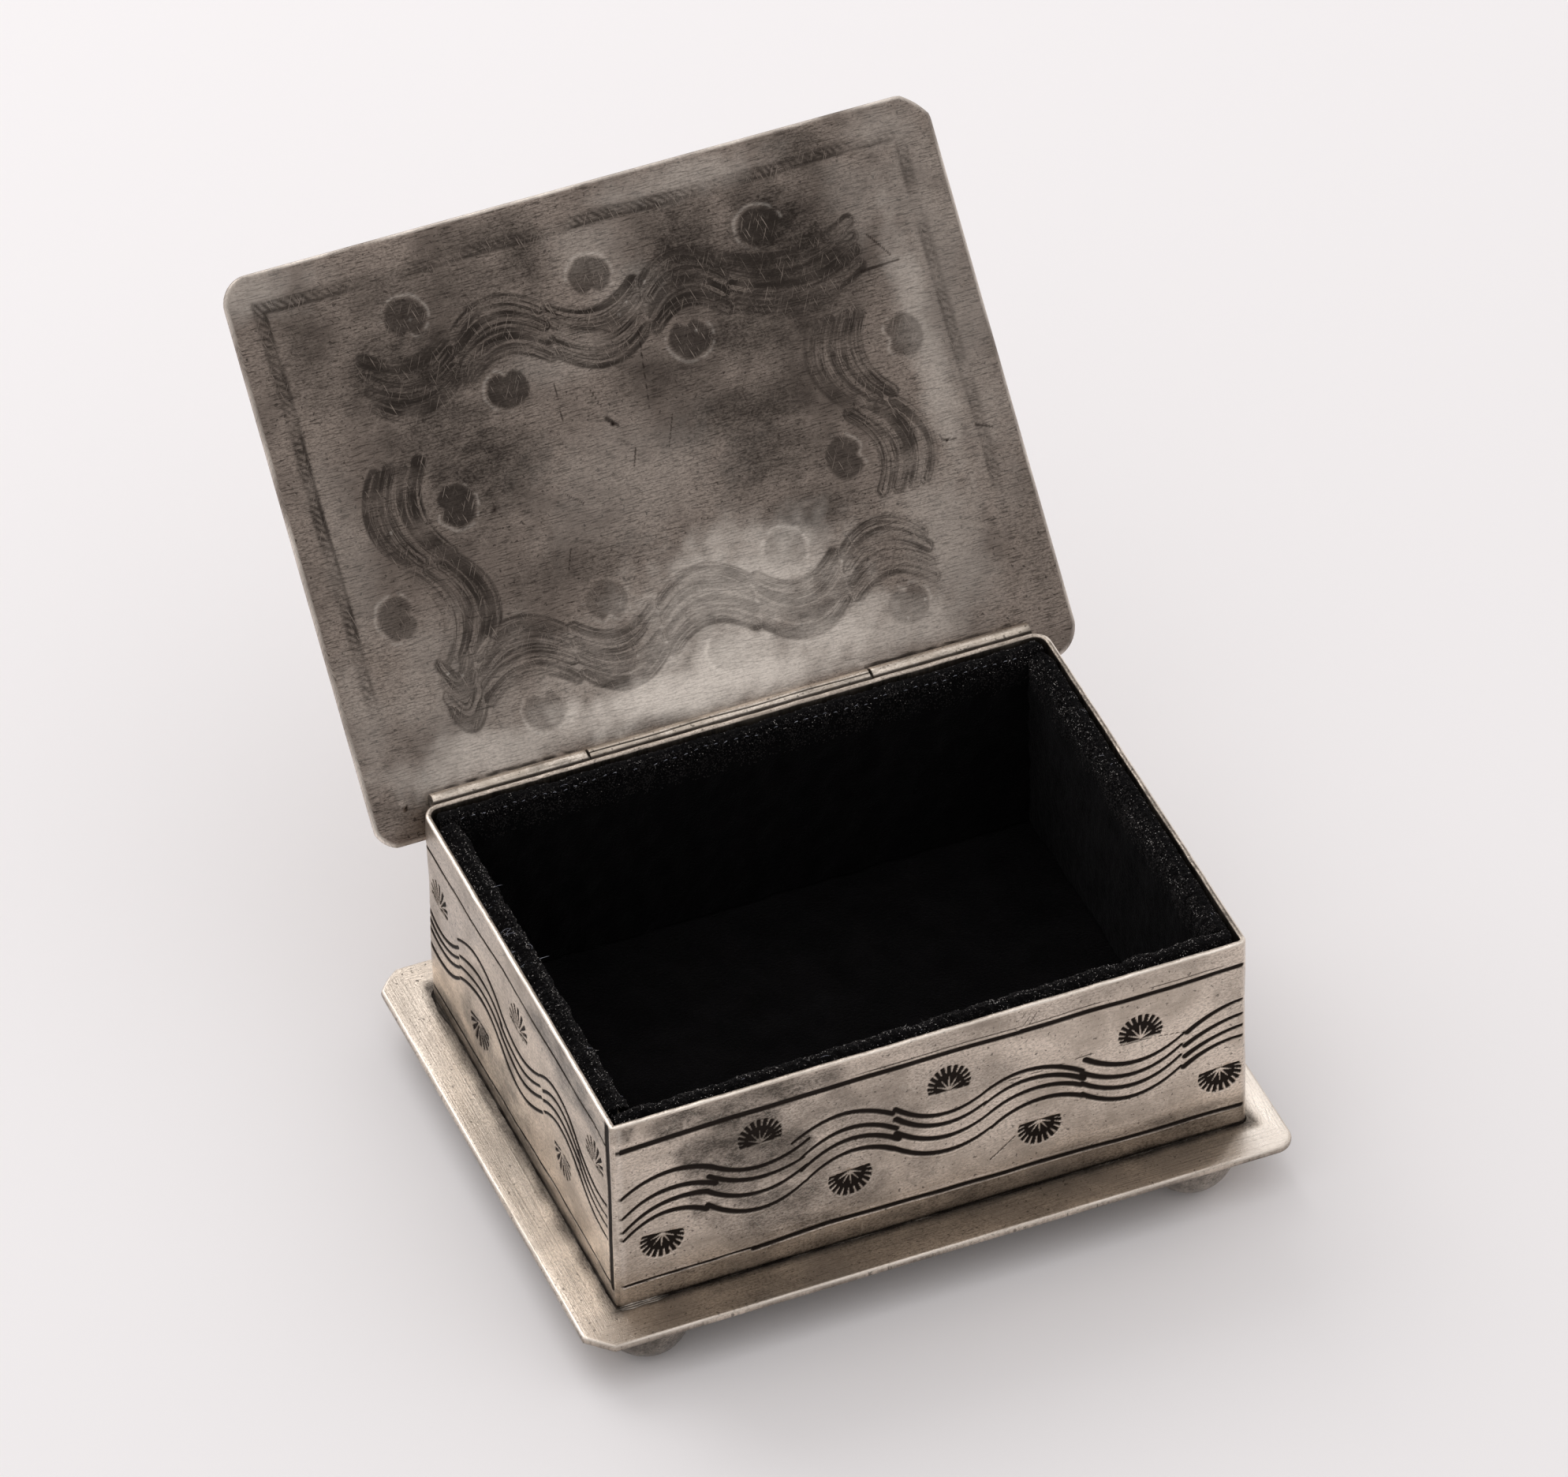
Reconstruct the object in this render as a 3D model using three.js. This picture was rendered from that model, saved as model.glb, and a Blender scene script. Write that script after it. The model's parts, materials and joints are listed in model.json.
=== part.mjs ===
// Hinged silver keepsake box: a bent and soldered wall on a footed base plate, a dished lid on a
// three-knuckle hinge, and a lining of black velvet wrapped over card.
// Millimetres, +Z up, front towards -Y. The lid is modelled open, leaning on its own rear edge.
import * as THREE from 'three';

// Wall: one strip bent round three corners, its ends soldered at the fourth
const bodyWidth = 90;
const bodyDepth = 68;
const wallHeight = 32.2;
const wallSheet = 0.8;
const backBend = 2.4;
const frontBend = 1.2;
const tightestBend = 0.2;
const seamSetBack = 0.15;
const seamWidth = 0.6;
const seamDepth = 0.4;

// Base plate: a flat sheet with filed edges that stands proud of the wall all round
const plateMarginLeft = 6.2;
const plateMarginRight = 4.4;
const plateMarginFront = 6.4;
const plateMarginBack = 5.2;
const plateSheet = 1.1;
const plateCorner = 4;

// Feet: half balls worn flat where they stand
const footRadius = 6.4;
const footFlat = 1.5;
const footInsetLeft = 3.8;
const footInsetRight = 8.6;
const footInsetY = 0.2;

// Lid: a sheet with a border that rises gently towards its edge
const lidOverhangSide = 5.8;
const lidOverhangFront = 4.8;
const lidOverhangBack = 5.9;
const lidSheet = 1;
const lidCorner = 4;
const lidBorder = 9;
const lidFlare = 0.55;
const filedEdge = 0.3;

// Hinge: two knuckles on the lid, one between them on the wall, and a pin through all three
const knuckleRadius = 1.25;
const boreRadius = 0.65;
const pinRadius = 0.57;
const hingeInsetLeft = 2.2;
const hingeInsetRight = 1.6;
const leftKnuckleLength = 22.2;
const rightKnuckleLength = 23;
const knuckleEndGap = 0.3;
const pinSetBack = 0.2;
const solderHalfWidth = 0.9;

// Lining: card panels wrapped in velvet
const cardThickness = 0.9;
const pileThickness = 1;
const velvetBelowRim = 0.8;
const velvetTurnBack = 9;
const floorPile = 1.4;

// Clearances
const runningGap = 0.3;
const solderGap = 0.05;
const lidRestGap = 0.1;
const stopGap = 0.1;
const liningGap = 0.2;
const cardGap = 0.1;

// Facets
const bendSegments = 6;
const tubeSegments = 16;
const footSegments = 28;
const footRings = 7;
const flareSteps = 5;

// Levels, measured up from the surface that the feet stand on
const plateBottom = footRadius;
const plateTop = plateBottom + plateSheet;
const rimTop = plateTop + wallHeight;
const floorCardTop = plateTop + cardThickness;
const floorTop = floorCardTop + floorPile;

// Hinge axis: the knuckles clear the wall and the lid by the running gap
const axisOffset = knuckleRadius + runningGap;
const axisY = bodyDepth / 2 + axisOffset;
const axisZ = rimTop + lidRestGap - axisOffset;
const hingeLeft = -bodyWidth / 2 + hingeInsetLeft;
const hingeRight = bodyWidth / 2 - hingeInsetRight;

// The lid stops where its raised rear edge meets the wall
const rearReach = lidOverhangBack - axisOffset;
const rearRise = axisOffset + lidFlare;
const rearRadius = Math.hypot(rearReach, rearRise);
const openAngle = Math.atan2(rearRise, rearReach) + Math.acos((stopGap - axisOffset) / rearRadius);

const silver = { color: 0xb4aa9c, roughness: 0.38, metalness: 1 };
const darkSilver = { color: 0x8a8177, roughness: 0.45, metalness: 1 };
const velvet = { color: 0x0b0a0c, roughness: 1, metalness: 0 };
const card = { color: 0x8c8272, roughness: 0.9, metalness: 0 };

function piece(name, geometry, look) {
  const mesh = new THREE.Mesh(geometry, new THREE.MeshStandardMaterial(look));
  mesh.name = name;
  return mesh;
}

// Lays a section drawn in (y, z) along +X from a start to an end
function alongX(shape, startX, endX) {
  const settings = { depth: endX - startX, bevelEnabled: false, curveSegments: bendSegments };
  const geometry = new THREE.ExtrudeGeometry(shape, settings);
  const yAxis = new THREE.Vector3(0, 1, 0);
  const zAxis = new THREE.Vector3(0, 0, 1);
  const xAxis = new THREE.Vector3(1, 0, 0);
  geometry.applyMatrix4(new THREE.Matrix4().makeBasis(yAxis, zAxis, xAxis));
  geometry.translate(startX, 0, 0);
  return geometry;
}

// One ring of points round a rectangle with round corners, counter-clockwise from above
function cornerRing(halfWidth, halfDepth, radius) {
  const points = [];
  const centres = [[1, 1, 0], [-1, 1, 1], [-1, -1, 2], [1, -1, 3]];
  for (const [sx, sy, quarter] of centres) {
    for (let step = 0; step <= bendSegments; step += 1) {
      const angle = (quarter + step / bendSegments) * Math.PI / 2;
      const x = sx * (halfWidth - radius) + radius * Math.cos(angle);
      const y = sy * (halfDepth - radius) + radius * Math.sin(angle);
      points.push([x, y]);
    }
  }
  return points;
}

// Closed sheet lofted through rings: each station is [inset from the edge, height], from the middle
// of the underside out to the edge and back to the middle of the top
function sheetSolid(width, depth, corner, stations) {
  const positions = [];
  const index = [];
  const count = 4 * (bendSegments + 1);
  for (const [inset, height] of stations) {
    const radius = Math.max(corner - inset, tightestBend);
    for (const [x, y] of cornerRing(width / 2 - inset, depth / 2 - inset, radius)) {
      positions.push(x, y, height);
    }
  }
  const underCentre = positions.length / 3;
  positions.push(0, 0, stations[0][1]);
  const topCentre = underCentre + 1;
  positions.push(0, 0, stations[stations.length - 1][1]);
  const topRing = (stations.length - 1) * count;
  for (let i = 0; i < count; i += 1) {
    const next = (i + 1) % count;
    index.push(underCentre, next, i);
    index.push(topCentre, topRing + i, topRing + next);
    for (let ring = 0; ring < topRing; ring += count) {
      const outer = ring + count;
      index.push(ring + i, ring + next, outer + next);
      index.push(ring + i, outer + next, outer + i);
    }
  }
  const geometry = new THREE.BufferGeometry();
  geometry.setAttribute('position', new THREE.Float32BufferAttribute(positions, 3));
  geometry.setIndex(index);
  geometry.computeVertexNormals();
  return geometry;
}

// The strip's inner face, and the plan of the space that it leaves
function innerPath(path) {
  const x = bodyWidth / 2 - wallSheet;
  const y = bodyDepth / 2 - wallSheet;
  const front = Math.max(frontBend - wallSheet, tightestBend);
  const back = Math.max(backBend - wallSheet, tightestBend);
  path.moveTo(-x, -y);
  path.lineTo(x - front, -y);
  path.absarc(x - front, -y + front, front, -Math.PI / 2, 0, false);
  path.lineTo(x, y - back);
  path.absarc(x - back, y - back, back, 0, Math.PI / 2, false);
  path.lineTo(-x + back, y);
  path.absarc(-x + back, y - back, back, Math.PI / 2, Math.PI, false);
  path.lineTo(-x, -y);
  return path;
}

// Bent wall: the strip's left end stops short of its front end, and the seam between them shows as a
// groove down the left face, just behind the front sheet
function bodyWall() {
  const x = bodyWidth / 2;
  const y = bodyDepth / 2;
  const seamFront = -y + wallSheet + seamSetBack;
  const seamBack = seamFront + seamWidth;
  const outline = new THREE.Shape();
  outline.moveTo(-x, -y);
  outline.lineTo(x - frontBend, -y);
  outline.absarc(x - frontBend, -y + frontBend, frontBend, -Math.PI / 2, 0, false);
  outline.lineTo(x, y - backBend);
  outline.absarc(x - backBend, y - backBend, backBend, 0, Math.PI / 2, false);
  outline.lineTo(-x + backBend, y);
  outline.absarc(-x + backBend, y - backBend, backBend, Math.PI / 2, Math.PI, false);
  outline.lineTo(-x, seamBack);
  outline.lineTo(-x + seamDepth, seamBack);
  outline.lineTo(-x + seamDepth, seamFront);
  outline.lineTo(-x, seamFront);
  outline.closePath();
  outline.holes.push(innerPath(new THREE.Path()));
  const settings = { depth: wallHeight, bevelEnabled: false, curveSegments: bendSegments };
  const geometry = new THREE.ExtrudeGeometry(outline, settings);
  geometry.translate(0, 0, plateTop);
  return piece('body_wall', geometry, silver);
}

function basePlate() {
  const width = plateMarginLeft + bodyWidth + plateMarginRight;
  const depth = plateMarginFront + bodyDepth + plateMarginBack;
  const stations = [
    [filedEdge, plateBottom],
    [0, plateBottom + filedEdge],
    [0, plateTop - filedEdge],
    [filedEdge, plateTop],
  ];
  const geometry = sheetSolid(width, depth, plateCorner, stations);
  geometry.translate((plateMarginRight - plateMarginLeft) / 2, (plateMarginBack - plateMarginFront) / 2, 0);
  return piece('base_plate', geometry, silver);
}

// Half ball with its dome down: the profile turns from the worn flat up to the plate
function foot(name, x, y) {
  const profile = [new THREE.Vector2(0, 0)];
  const flatAngle = Math.asin(footFlat / footRadius);
  const wornOff = footRadius * (1 - Math.cos(flatAngle));
  const stretch = footRadius / (footRadius - wornOff);
  for (let ring = 0; ring <= footRings; ring += 1) {
    const angle = flatAngle + (Math.PI / 2 - flatAngle) * ring / footRings;
    const height = footRadius - footRadius * Math.cos(angle) - wornOff;
    profile.push(new THREE.Vector2(footRadius * Math.sin(angle), height * stretch));
  }
  profile.push(new THREE.Vector2(0, footRadius));
  const geometry = new THREE.LatheGeometry(profile, footSegments);
  geometry.rotateX(Math.PI / 2);
  geometry.translate(x, y, 0);
  return piece(name, geometry, darkSilver);
}

function feet() {
  const left = -bodyWidth / 2 + footInsetLeft;
  const right = bodyWidth / 2 - footInsetRight;
  const y = bodyDepth / 2 - footInsetY;
  return [
    foot('foot_front_left', left, -y),
    foot('foot_front_right', right, -y),
    foot('foot_back_left', left, y),
    foot('foot_back_right', right, y),
  ];
}

// Tube section with the solder that joins it to a flat face at a distance along `side`
function knuckleSection(side, reach) {
  const shape = new THREE.Shape();
  const spread = Math.asin(solderHalfWidth / knuckleRadius);
  const middle = Math.atan2(side.y, side.x);
  shape.absarc(0, 0, knuckleRadius, middle + spread, middle - spread + 2 * Math.PI, false);
  const across = new THREE.Vector2(-side.y, side.x).multiplyScalar(solderHalfWidth);
  const seat = side.clone().multiplyScalar(reach);
  shape.lineTo(seat.x - across.x, seat.y - across.y);
  shape.lineTo(seat.x + across.x, seat.y + across.y);
  shape.closePath();
  const bore = new THREE.Path();
  bore.absarc(0, 0, boreRadius, 0, 2 * Math.PI, true);
  shape.holes.push(bore);
  return shape;
}

function hingePin() {
  const length = hingeRight - hingeLeft - 2 * pinSetBack;
  const geometry = new THREE.CylinderGeometry(pinRadius, pinRadius, length, tubeSegments);
  geometry.rotateZ(Math.PI / 2);
  geometry.translate((hingeLeft + hingeRight) / 2, axisY, axisZ);
  return piece('hinge_pin', geometry, darkSilver);
}

function bodyKnuckle() {
  const start = hingeLeft + leftKnuckleLength + knuckleEndGap;
  const end = hingeRight - rightKnuckleLength - knuckleEndGap;
  const section = knuckleSection(new THREE.Vector2(-1, 0), axisOffset);
  const geometry = alongX(section, start, end);
  geometry.translate(0, axisY, axisZ);
  return piece('body_knuckle', geometry, silver);
}

// The lid's pieces are drawn closed, with the hinge axis as their origin
function lidPanel() {
  const width = bodyWidth + 2 * lidOverhangSide;
  const depth = lidOverhangFront + bodyDepth + lidOverhangBack;
  const stations = [];
  for (let step = 0; step <= flareSteps; step += 1) {
    const inset = lidBorder * (1 - step / flareSteps) + filedEdge * step / flareSteps;
    stations.push([inset, lidFlare * (1 - inset / lidBorder) ** 2]);
  }
  stations.push([0, lidFlare + filedEdge]);
  stations.push([0, lidFlare + lidSheet - filedEdge]);
  for (let step = flareSteps; step >= 0; step -= 1) {
    const [inset, height] = stations[step];
    stations.push([inset, height + lidSheet]);
  }
  const geometry = sheetSolid(width, depth, lidCorner, stations);
  const middleY = (lidOverhangBack - lidOverhangFront) / 2 - bodyDepth / 2 - axisOffset;
  geometry.translate(0, middleY, axisOffset);
  return piece('lid_panel', geometry, silver);
}

function lidKnuckle(name, start, end) {
  const section = knuckleSection(new THREE.Vector2(0, 1), axisOffset - solderGap);
  return piece(name, alongX(section, start, end), silver);
}

function lid() {
  const group = new THREE.Group();
  group.add(lidPanel());
  group.add(lidKnuckle('lid_knuckle_left', hingeLeft, hingeLeft + leftKnuckleLength));
  group.add(lidKnuckle('lid_knuckle_right', hingeRight - rightKnuckleLength, hingeRight));
  group.position.set(0, axisY, axisZ);
  group.rotation.x = -openAngle;
  return group;
}

// How far a square corner keeps back from a wall's end so that it clears the bend
function bendSetBack(gap) {
  const radius = Math.max(backBend, frontBend) - wallSheet;
  if (radius <= gap) {
    return gap;
  }
  const clear = Math.sqrt((radius - cardGap) ** 2 - (radius - gap) ** 2);
  return Math.max(gap, radius - clear);
}

// Section of a wrapped panel in (distance from the wall, height): face, top and turn-back
function velvetSection() {
  const thickness = 2 * pileThickness + cardThickness + 2 * cardGap;
  const bottom = floorTop + liningGap;
  const top = rimTop - velvetBelowRim;
  const slotLeft = pileThickness;
  const slotRight = pileThickness + cardThickness + 2 * cardGap;
  const round = pileThickness;
  const shape = new THREE.Shape();
  shape.moveTo(slotRight, bottom);
  shape.lineTo(thickness, bottom);
  shape.lineTo(thickness, top - round);
  shape.absarc(thickness - round, top - round, round, 0, Math.PI / 2, false);
  shape.lineTo(round, top);
  shape.absarc(round, top - round, round, Math.PI / 2, Math.PI, false);
  shape.lineTo(0, top - velvetTurnBack);
  shape.lineTo(slotLeft, top - velvetTurnBack);
  shape.lineTo(slotLeft, top - pileThickness);
  shape.lineTo(slotRight, top - pileThickness);
  shape.closePath();
  return shape;
}

function cardSection() {
  const left = pileThickness + cardGap;
  const shape = new THREE.Shape();
  shape.moveTo(left, floorTop + liningGap);
  shape.lineTo(left + cardThickness, floorTop + liningGap);
  shape.lineTo(left + cardThickness, rimTop - velvetBelowRim - pileThickness - cardGap);
  shape.lineTo(left, rimTop - velvetBelowRim - pileThickness - cardGap);
  shape.closePath();
  return shape;
}

// Four wrapped panels: front and back run the whole width, the sides stand between them
function liningPanels() {
  const panelDepth = 2 * pileThickness + cardThickness + 2 * cardGap;
  const innerX = bodyWidth / 2 - wallSheet;
  const innerY = bodyDepth / 2 - wallSheet;
  const longEnd = innerX - bendSetBack(liningGap);
  const shortEnd = innerY - liningGap - panelDepth - liningGap;
  const places = [
    { side: 'front', turn: 0, reach: innerY - liningGap, half: longEnd },
    { side: 'right', turn: Math.PI / 2, reach: innerX - liningGap, half: shortEnd },
    { side: 'back', turn: Math.PI, reach: innerY - liningGap, half: longEnd },
    { side: 'left', turn: -Math.PI / 2, reach: innerX - liningGap, half: shortEnd },
  ];
  const pieces = [];
  for (const { side, turn, reach, half } of places) {
    const cover = alongX(velvetSection(), -half, half);
    cover.translate(0, -reach, 0);
    cover.rotateZ(turn);
    pieces.push(piece(`${side}_velvet`, cover, velvet));
    const board = alongX(cardSection(), -half + cardGap, half - cardGap);
    board.translate(0, -reach, 0);
    board.rotateZ(turn);
    pieces.push(piece(`${side}_card`, board, card));
  }
  return pieces;
}

// Floor card on the plate, with its velvet on top
function liningFloor() {
  const width = bodyWidth - 2 * wallSheet - 2 * bendSetBack(bendSetBack(liningGap));
  const depth = bodyDepth - 2 * wallSheet - 2 * bendSetBack(liningGap);
  const board = new THREE.BoxGeometry(width, depth, cardThickness);
  board.translate(0, 0, plateTop + cardThickness / 2);
  const pad = new THREE.BoxGeometry(width, depth, floorPile);
  pad.translate(0, 0, floorCardTop + floorPile / 2);
  return [piece('floor_card', board, card), piece('floor_velvet', pad, velvet)];
}

const box = new THREE.Group();
box.add(bodyWall(), basePlate(), ...feet(), bodyKnuckle(), hingePin());
box.add(...liningFloor(), ...liningPanels());
box.add(lid());

// The origin is on the standing surface, under the middle of the open box's outline
box.updateMatrixWorld(true);
const extent = new THREE.Box3().setFromObject(box, true);
const middle = extent.getCenter(new THREE.Vector3());
box.position.set(-middle.x, -middle.y, -extent.min.z);
box.updateMatrixWorld(true);

export default box;
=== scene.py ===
"""A hand-stamped silver keepsake box, open, with a black velvet lining, on a pale floor."""
import json
import math

import bmesh
import bpy
import numpy as np
from mathutils import Matrix, Vector


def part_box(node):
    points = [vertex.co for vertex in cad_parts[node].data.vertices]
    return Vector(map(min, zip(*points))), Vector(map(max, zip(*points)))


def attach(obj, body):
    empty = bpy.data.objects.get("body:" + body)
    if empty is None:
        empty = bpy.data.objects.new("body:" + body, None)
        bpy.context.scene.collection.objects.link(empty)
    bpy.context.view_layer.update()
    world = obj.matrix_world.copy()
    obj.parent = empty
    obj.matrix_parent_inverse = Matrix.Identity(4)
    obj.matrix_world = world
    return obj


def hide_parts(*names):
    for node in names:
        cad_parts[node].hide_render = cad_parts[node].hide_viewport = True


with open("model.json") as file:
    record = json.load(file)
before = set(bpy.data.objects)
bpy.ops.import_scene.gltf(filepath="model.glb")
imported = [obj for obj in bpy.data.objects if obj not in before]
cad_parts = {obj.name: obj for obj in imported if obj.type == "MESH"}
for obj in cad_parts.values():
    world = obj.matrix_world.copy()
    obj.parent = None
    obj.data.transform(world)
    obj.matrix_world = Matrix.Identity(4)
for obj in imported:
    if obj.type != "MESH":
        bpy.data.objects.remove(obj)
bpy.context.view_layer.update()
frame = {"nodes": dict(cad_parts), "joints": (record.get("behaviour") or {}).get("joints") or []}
rng = np.random.default_rng(11)

# Lengths below are millimetres. The home point is the middle of the wall's footprint, on the plate.
MM = 0.001


def span(node):
    """A CAD node's low and high corner in the row's frame."""
    low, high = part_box(node)
    return np.array(low) / MM, np.array(high) / MM


def from_home(node):
    """A CAD node's low and high corner, measured from the home point."""
    low, high = span(node)
    return low - home, high - home


wall_low, wall_high = span("body_wall")
home = np.array([(wall_low[0] + wall_high[0]) / 2, (wall_low[1] + wall_high[1]) / 2, wall_low[2]])
width, depth, height = wall_high - wall_low
plate_low, plate_high = from_home("base_plate")
hinge = np.array(frame["joints"][0]["pos_m"]) / MM - home

# Sheet metal
sheet = 0.8
bend_front_left = 0.5
bend_front_right = 1.2
bend_back = 2.4
rim_bevel = 0.4
lid_sheet = 1.0
lid_flare = 0.55
lid_border = 9.0
axis_to_lid = 1.55
tube_radius = 1.42
tube_bore = 0.65
tube_lip = 0.14
tube_seam = math.radians(101)

# How the photograph was taken
photo_width = 1988
camera_azimuth = math.radians(-21.36)
camera_elevation = math.radians(41.59)
camera_roll = math.radians(-1.53)
camera_distance = 1881.5
camera_right = -6.92
camera_up = 41.95
focal_pixels = 17907.0
sensor_width = 36.0


# Meshes

def in_row(points):
    """Points in millimetres from the home point, as metres in the row's frame."""
    return (np.asarray(points, float) + home) * MM


def smooth(low, high, value):
    """0 below low, 1 above high, and an even S between them."""
    t = np.clip((value - low) / (high - low), 0, 1)
    return t * t * (3 - 2 * t)


def ripple(x, y, length, seed, waves=7):
    """Gentle hand-worked unevenness, about -1 to 1, with bumps of roughly this length."""
    draw = np.random.default_rng(seed)
    total = np.zeros(np.shape(x))
    for _ in range(waves):
        turn = draw.uniform(0, 2 * math.pi)
        pace = 2 * math.pi / (length * draw.uniform(0.6, 1.6))
        total += np.sin(pace * (x * math.cos(turn) + y * math.sin(turn)) + draw.uniform(0, 2 * math.pi))
    return total / math.sqrt(waves)


def line_ripple(along, length, seed):
    """The same unevenness along a line."""
    return ripple(along, along * 0, length, seed)


def unit(rows):
    """Each row's direction, with a length of 1."""
    return rows / np.linalg.norm(rows, axis=1)[:, None]


def nowhere(x, y):
    """A sheet that needs no fine cells."""
    return np.zeros(x.shape, bool)


def ring_numbers(count, size):
    """Point numbers of rings of one size that follow one another."""
    return [list(range(i * size, (i + 1) * size)) for i in range(count)]


def grid(across_mm, up_mm, cell, split, wanted):
    """A flat sheet of cells, each divided split x split where wanted(x, y) is true inside it.
    Returns its points, its faces, and the numbers of its border points: low, right, high and left side."""
    across, up = round(across_mm / cell), round(up_mm / cell)
    x = np.linspace(0, across_mm, across * split + 1)
    y = np.linspace(0, up_mm, up * split + 1)
    fine_x, fine_y = np.meshgrid(x, y)
    hit = wanted(fine_x, fine_y)
    offsets = [(row, col) for row in range(split + 1) for col in range(split + 1)]

    def corner(array, row, col):
        return array[row:row + up * split:split, col:col + across * split:split]

    marked = np.zeros((up, across), bool)
    for row, col in offsets:
        marked |= corner(hit, row, col)
    marked[[0, -1], :] = False
    marked[:, [0, -1]] = False
    used = np.zeros(hit.shape, bool)
    used[::split, ::split] = True
    for row, col in offsets:
        corner(used, row, col)[marked] = True
    number = np.full(hit.shape, -1)
    number[used] = np.arange(used.sum())
    faces = []
    for row, col in [(r, c) for r in range(split) for c in range(split)]:
        quad = [corner(number, row + r, col + c)[marked] for r, c in ((0, 0), (0, 1), (1, 1), (1, 0))]
        faces += np.stack(quad, 1).tolist()
    for row, col in np.argwhere(~marked):
        low, high, left, right = row * split, (row + 1) * split, col * split, (col + 1) * split
        ring = np.concatenate([
            number[low, left:right], number[low:high, right],
            number[high, right:left:-1], number[high:low:-1, left]])
        faces.append(ring[ring >= 0].tolist())
    points = np.stack([fine_x[used], fine_y[used]], 1)
    sides = [number[0, ::split], number[::split, -1], number[-1, ::split], number[::split, 0]]
    return points, faces, sides


def strip(rings, closed=True):
    """Faces between rings of point numbers, each ring as long as the next."""
    faces = []
    count = len(rings[0])
    last = count if closed else count - 1
    for low, high in zip(rings, rings[1:]):
        for i in range(last):
            j = (i + 1) % count
            faces.append([low[i], low[j], high[j], high[i]])
    return faces


def link(name, data):
    """An object with this data, in the scene."""
    thing = bpy.data.objects.new(name, data)
    bpy.context.scene.collection.objects.link(thing)
    return thing


# What a silver mesh can tell its material at each point. A mark that it doesn't carry counts as 0. The stain
# mark also carries painted shade, and the wear mark painted highlights.
mark_names = ("oxide", "stain", "worn", "hatch", "band", "lane")


def make(name, points, faces, material, body, node=None, flat=None, marks=None, turned=None):
    """A smooth mesh piece in the row's frame that rides on a body and stands for a CAD node. flat gives each
    point's place on the sheet, marks its wear, and turned the faces whose hairlines run along y."""
    mesh = bpy.data.meshes.new(name)
    mesh.from_pydata(np.asarray(points).tolist(), [], faces)
    mesh.polygons.foreach_set("use_smooth", np.ones(len(mesh.polygons), bool))
    if flat is not None:
        corner_point = np.zeros(len(mesh.loops), int)
        mesh.loops.foreach_get("vertex_index", corner_point)
        corners = np.asarray(flat, float)[corner_point]
        if turned is not None:
            across = np.repeat(turned, [len(face) for face in faces])
            corners[across] = corners[across][:, ::-1]
        layer = mesh.uv_layers.new(name="sheet_mm")
        layer.data.foreach_set("uv", corners.ravel())
    for label, values in (marks or {}).items():
        mesh.attributes.new(label, "FLOAT", "POINT").data.foreach_set("value", np.asarray(values, float))
    mesh.materials.append(material)
    mesh.update()
    piece = link(name, mesh)
    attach(piece, body)
    if node:
        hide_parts(node)
    return piece


def weld(piece, within=0.01):
    """Joins points that lie on one another, where a strip meets itself."""
    work = bmesh.new()
    work.from_mesh(piece.data)
    bmesh.ops.remove_doubles(work, verts=work.verts, dist=within * MM)
    work.to_mesh(piece.data)
    work.free()


# Materials

# Sockets of a colour mix node, by number
MIX_SHARE, MIX_FIRST, MIX_SECOND, MIX_RESULT = 0, 6, 7, 2


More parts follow.
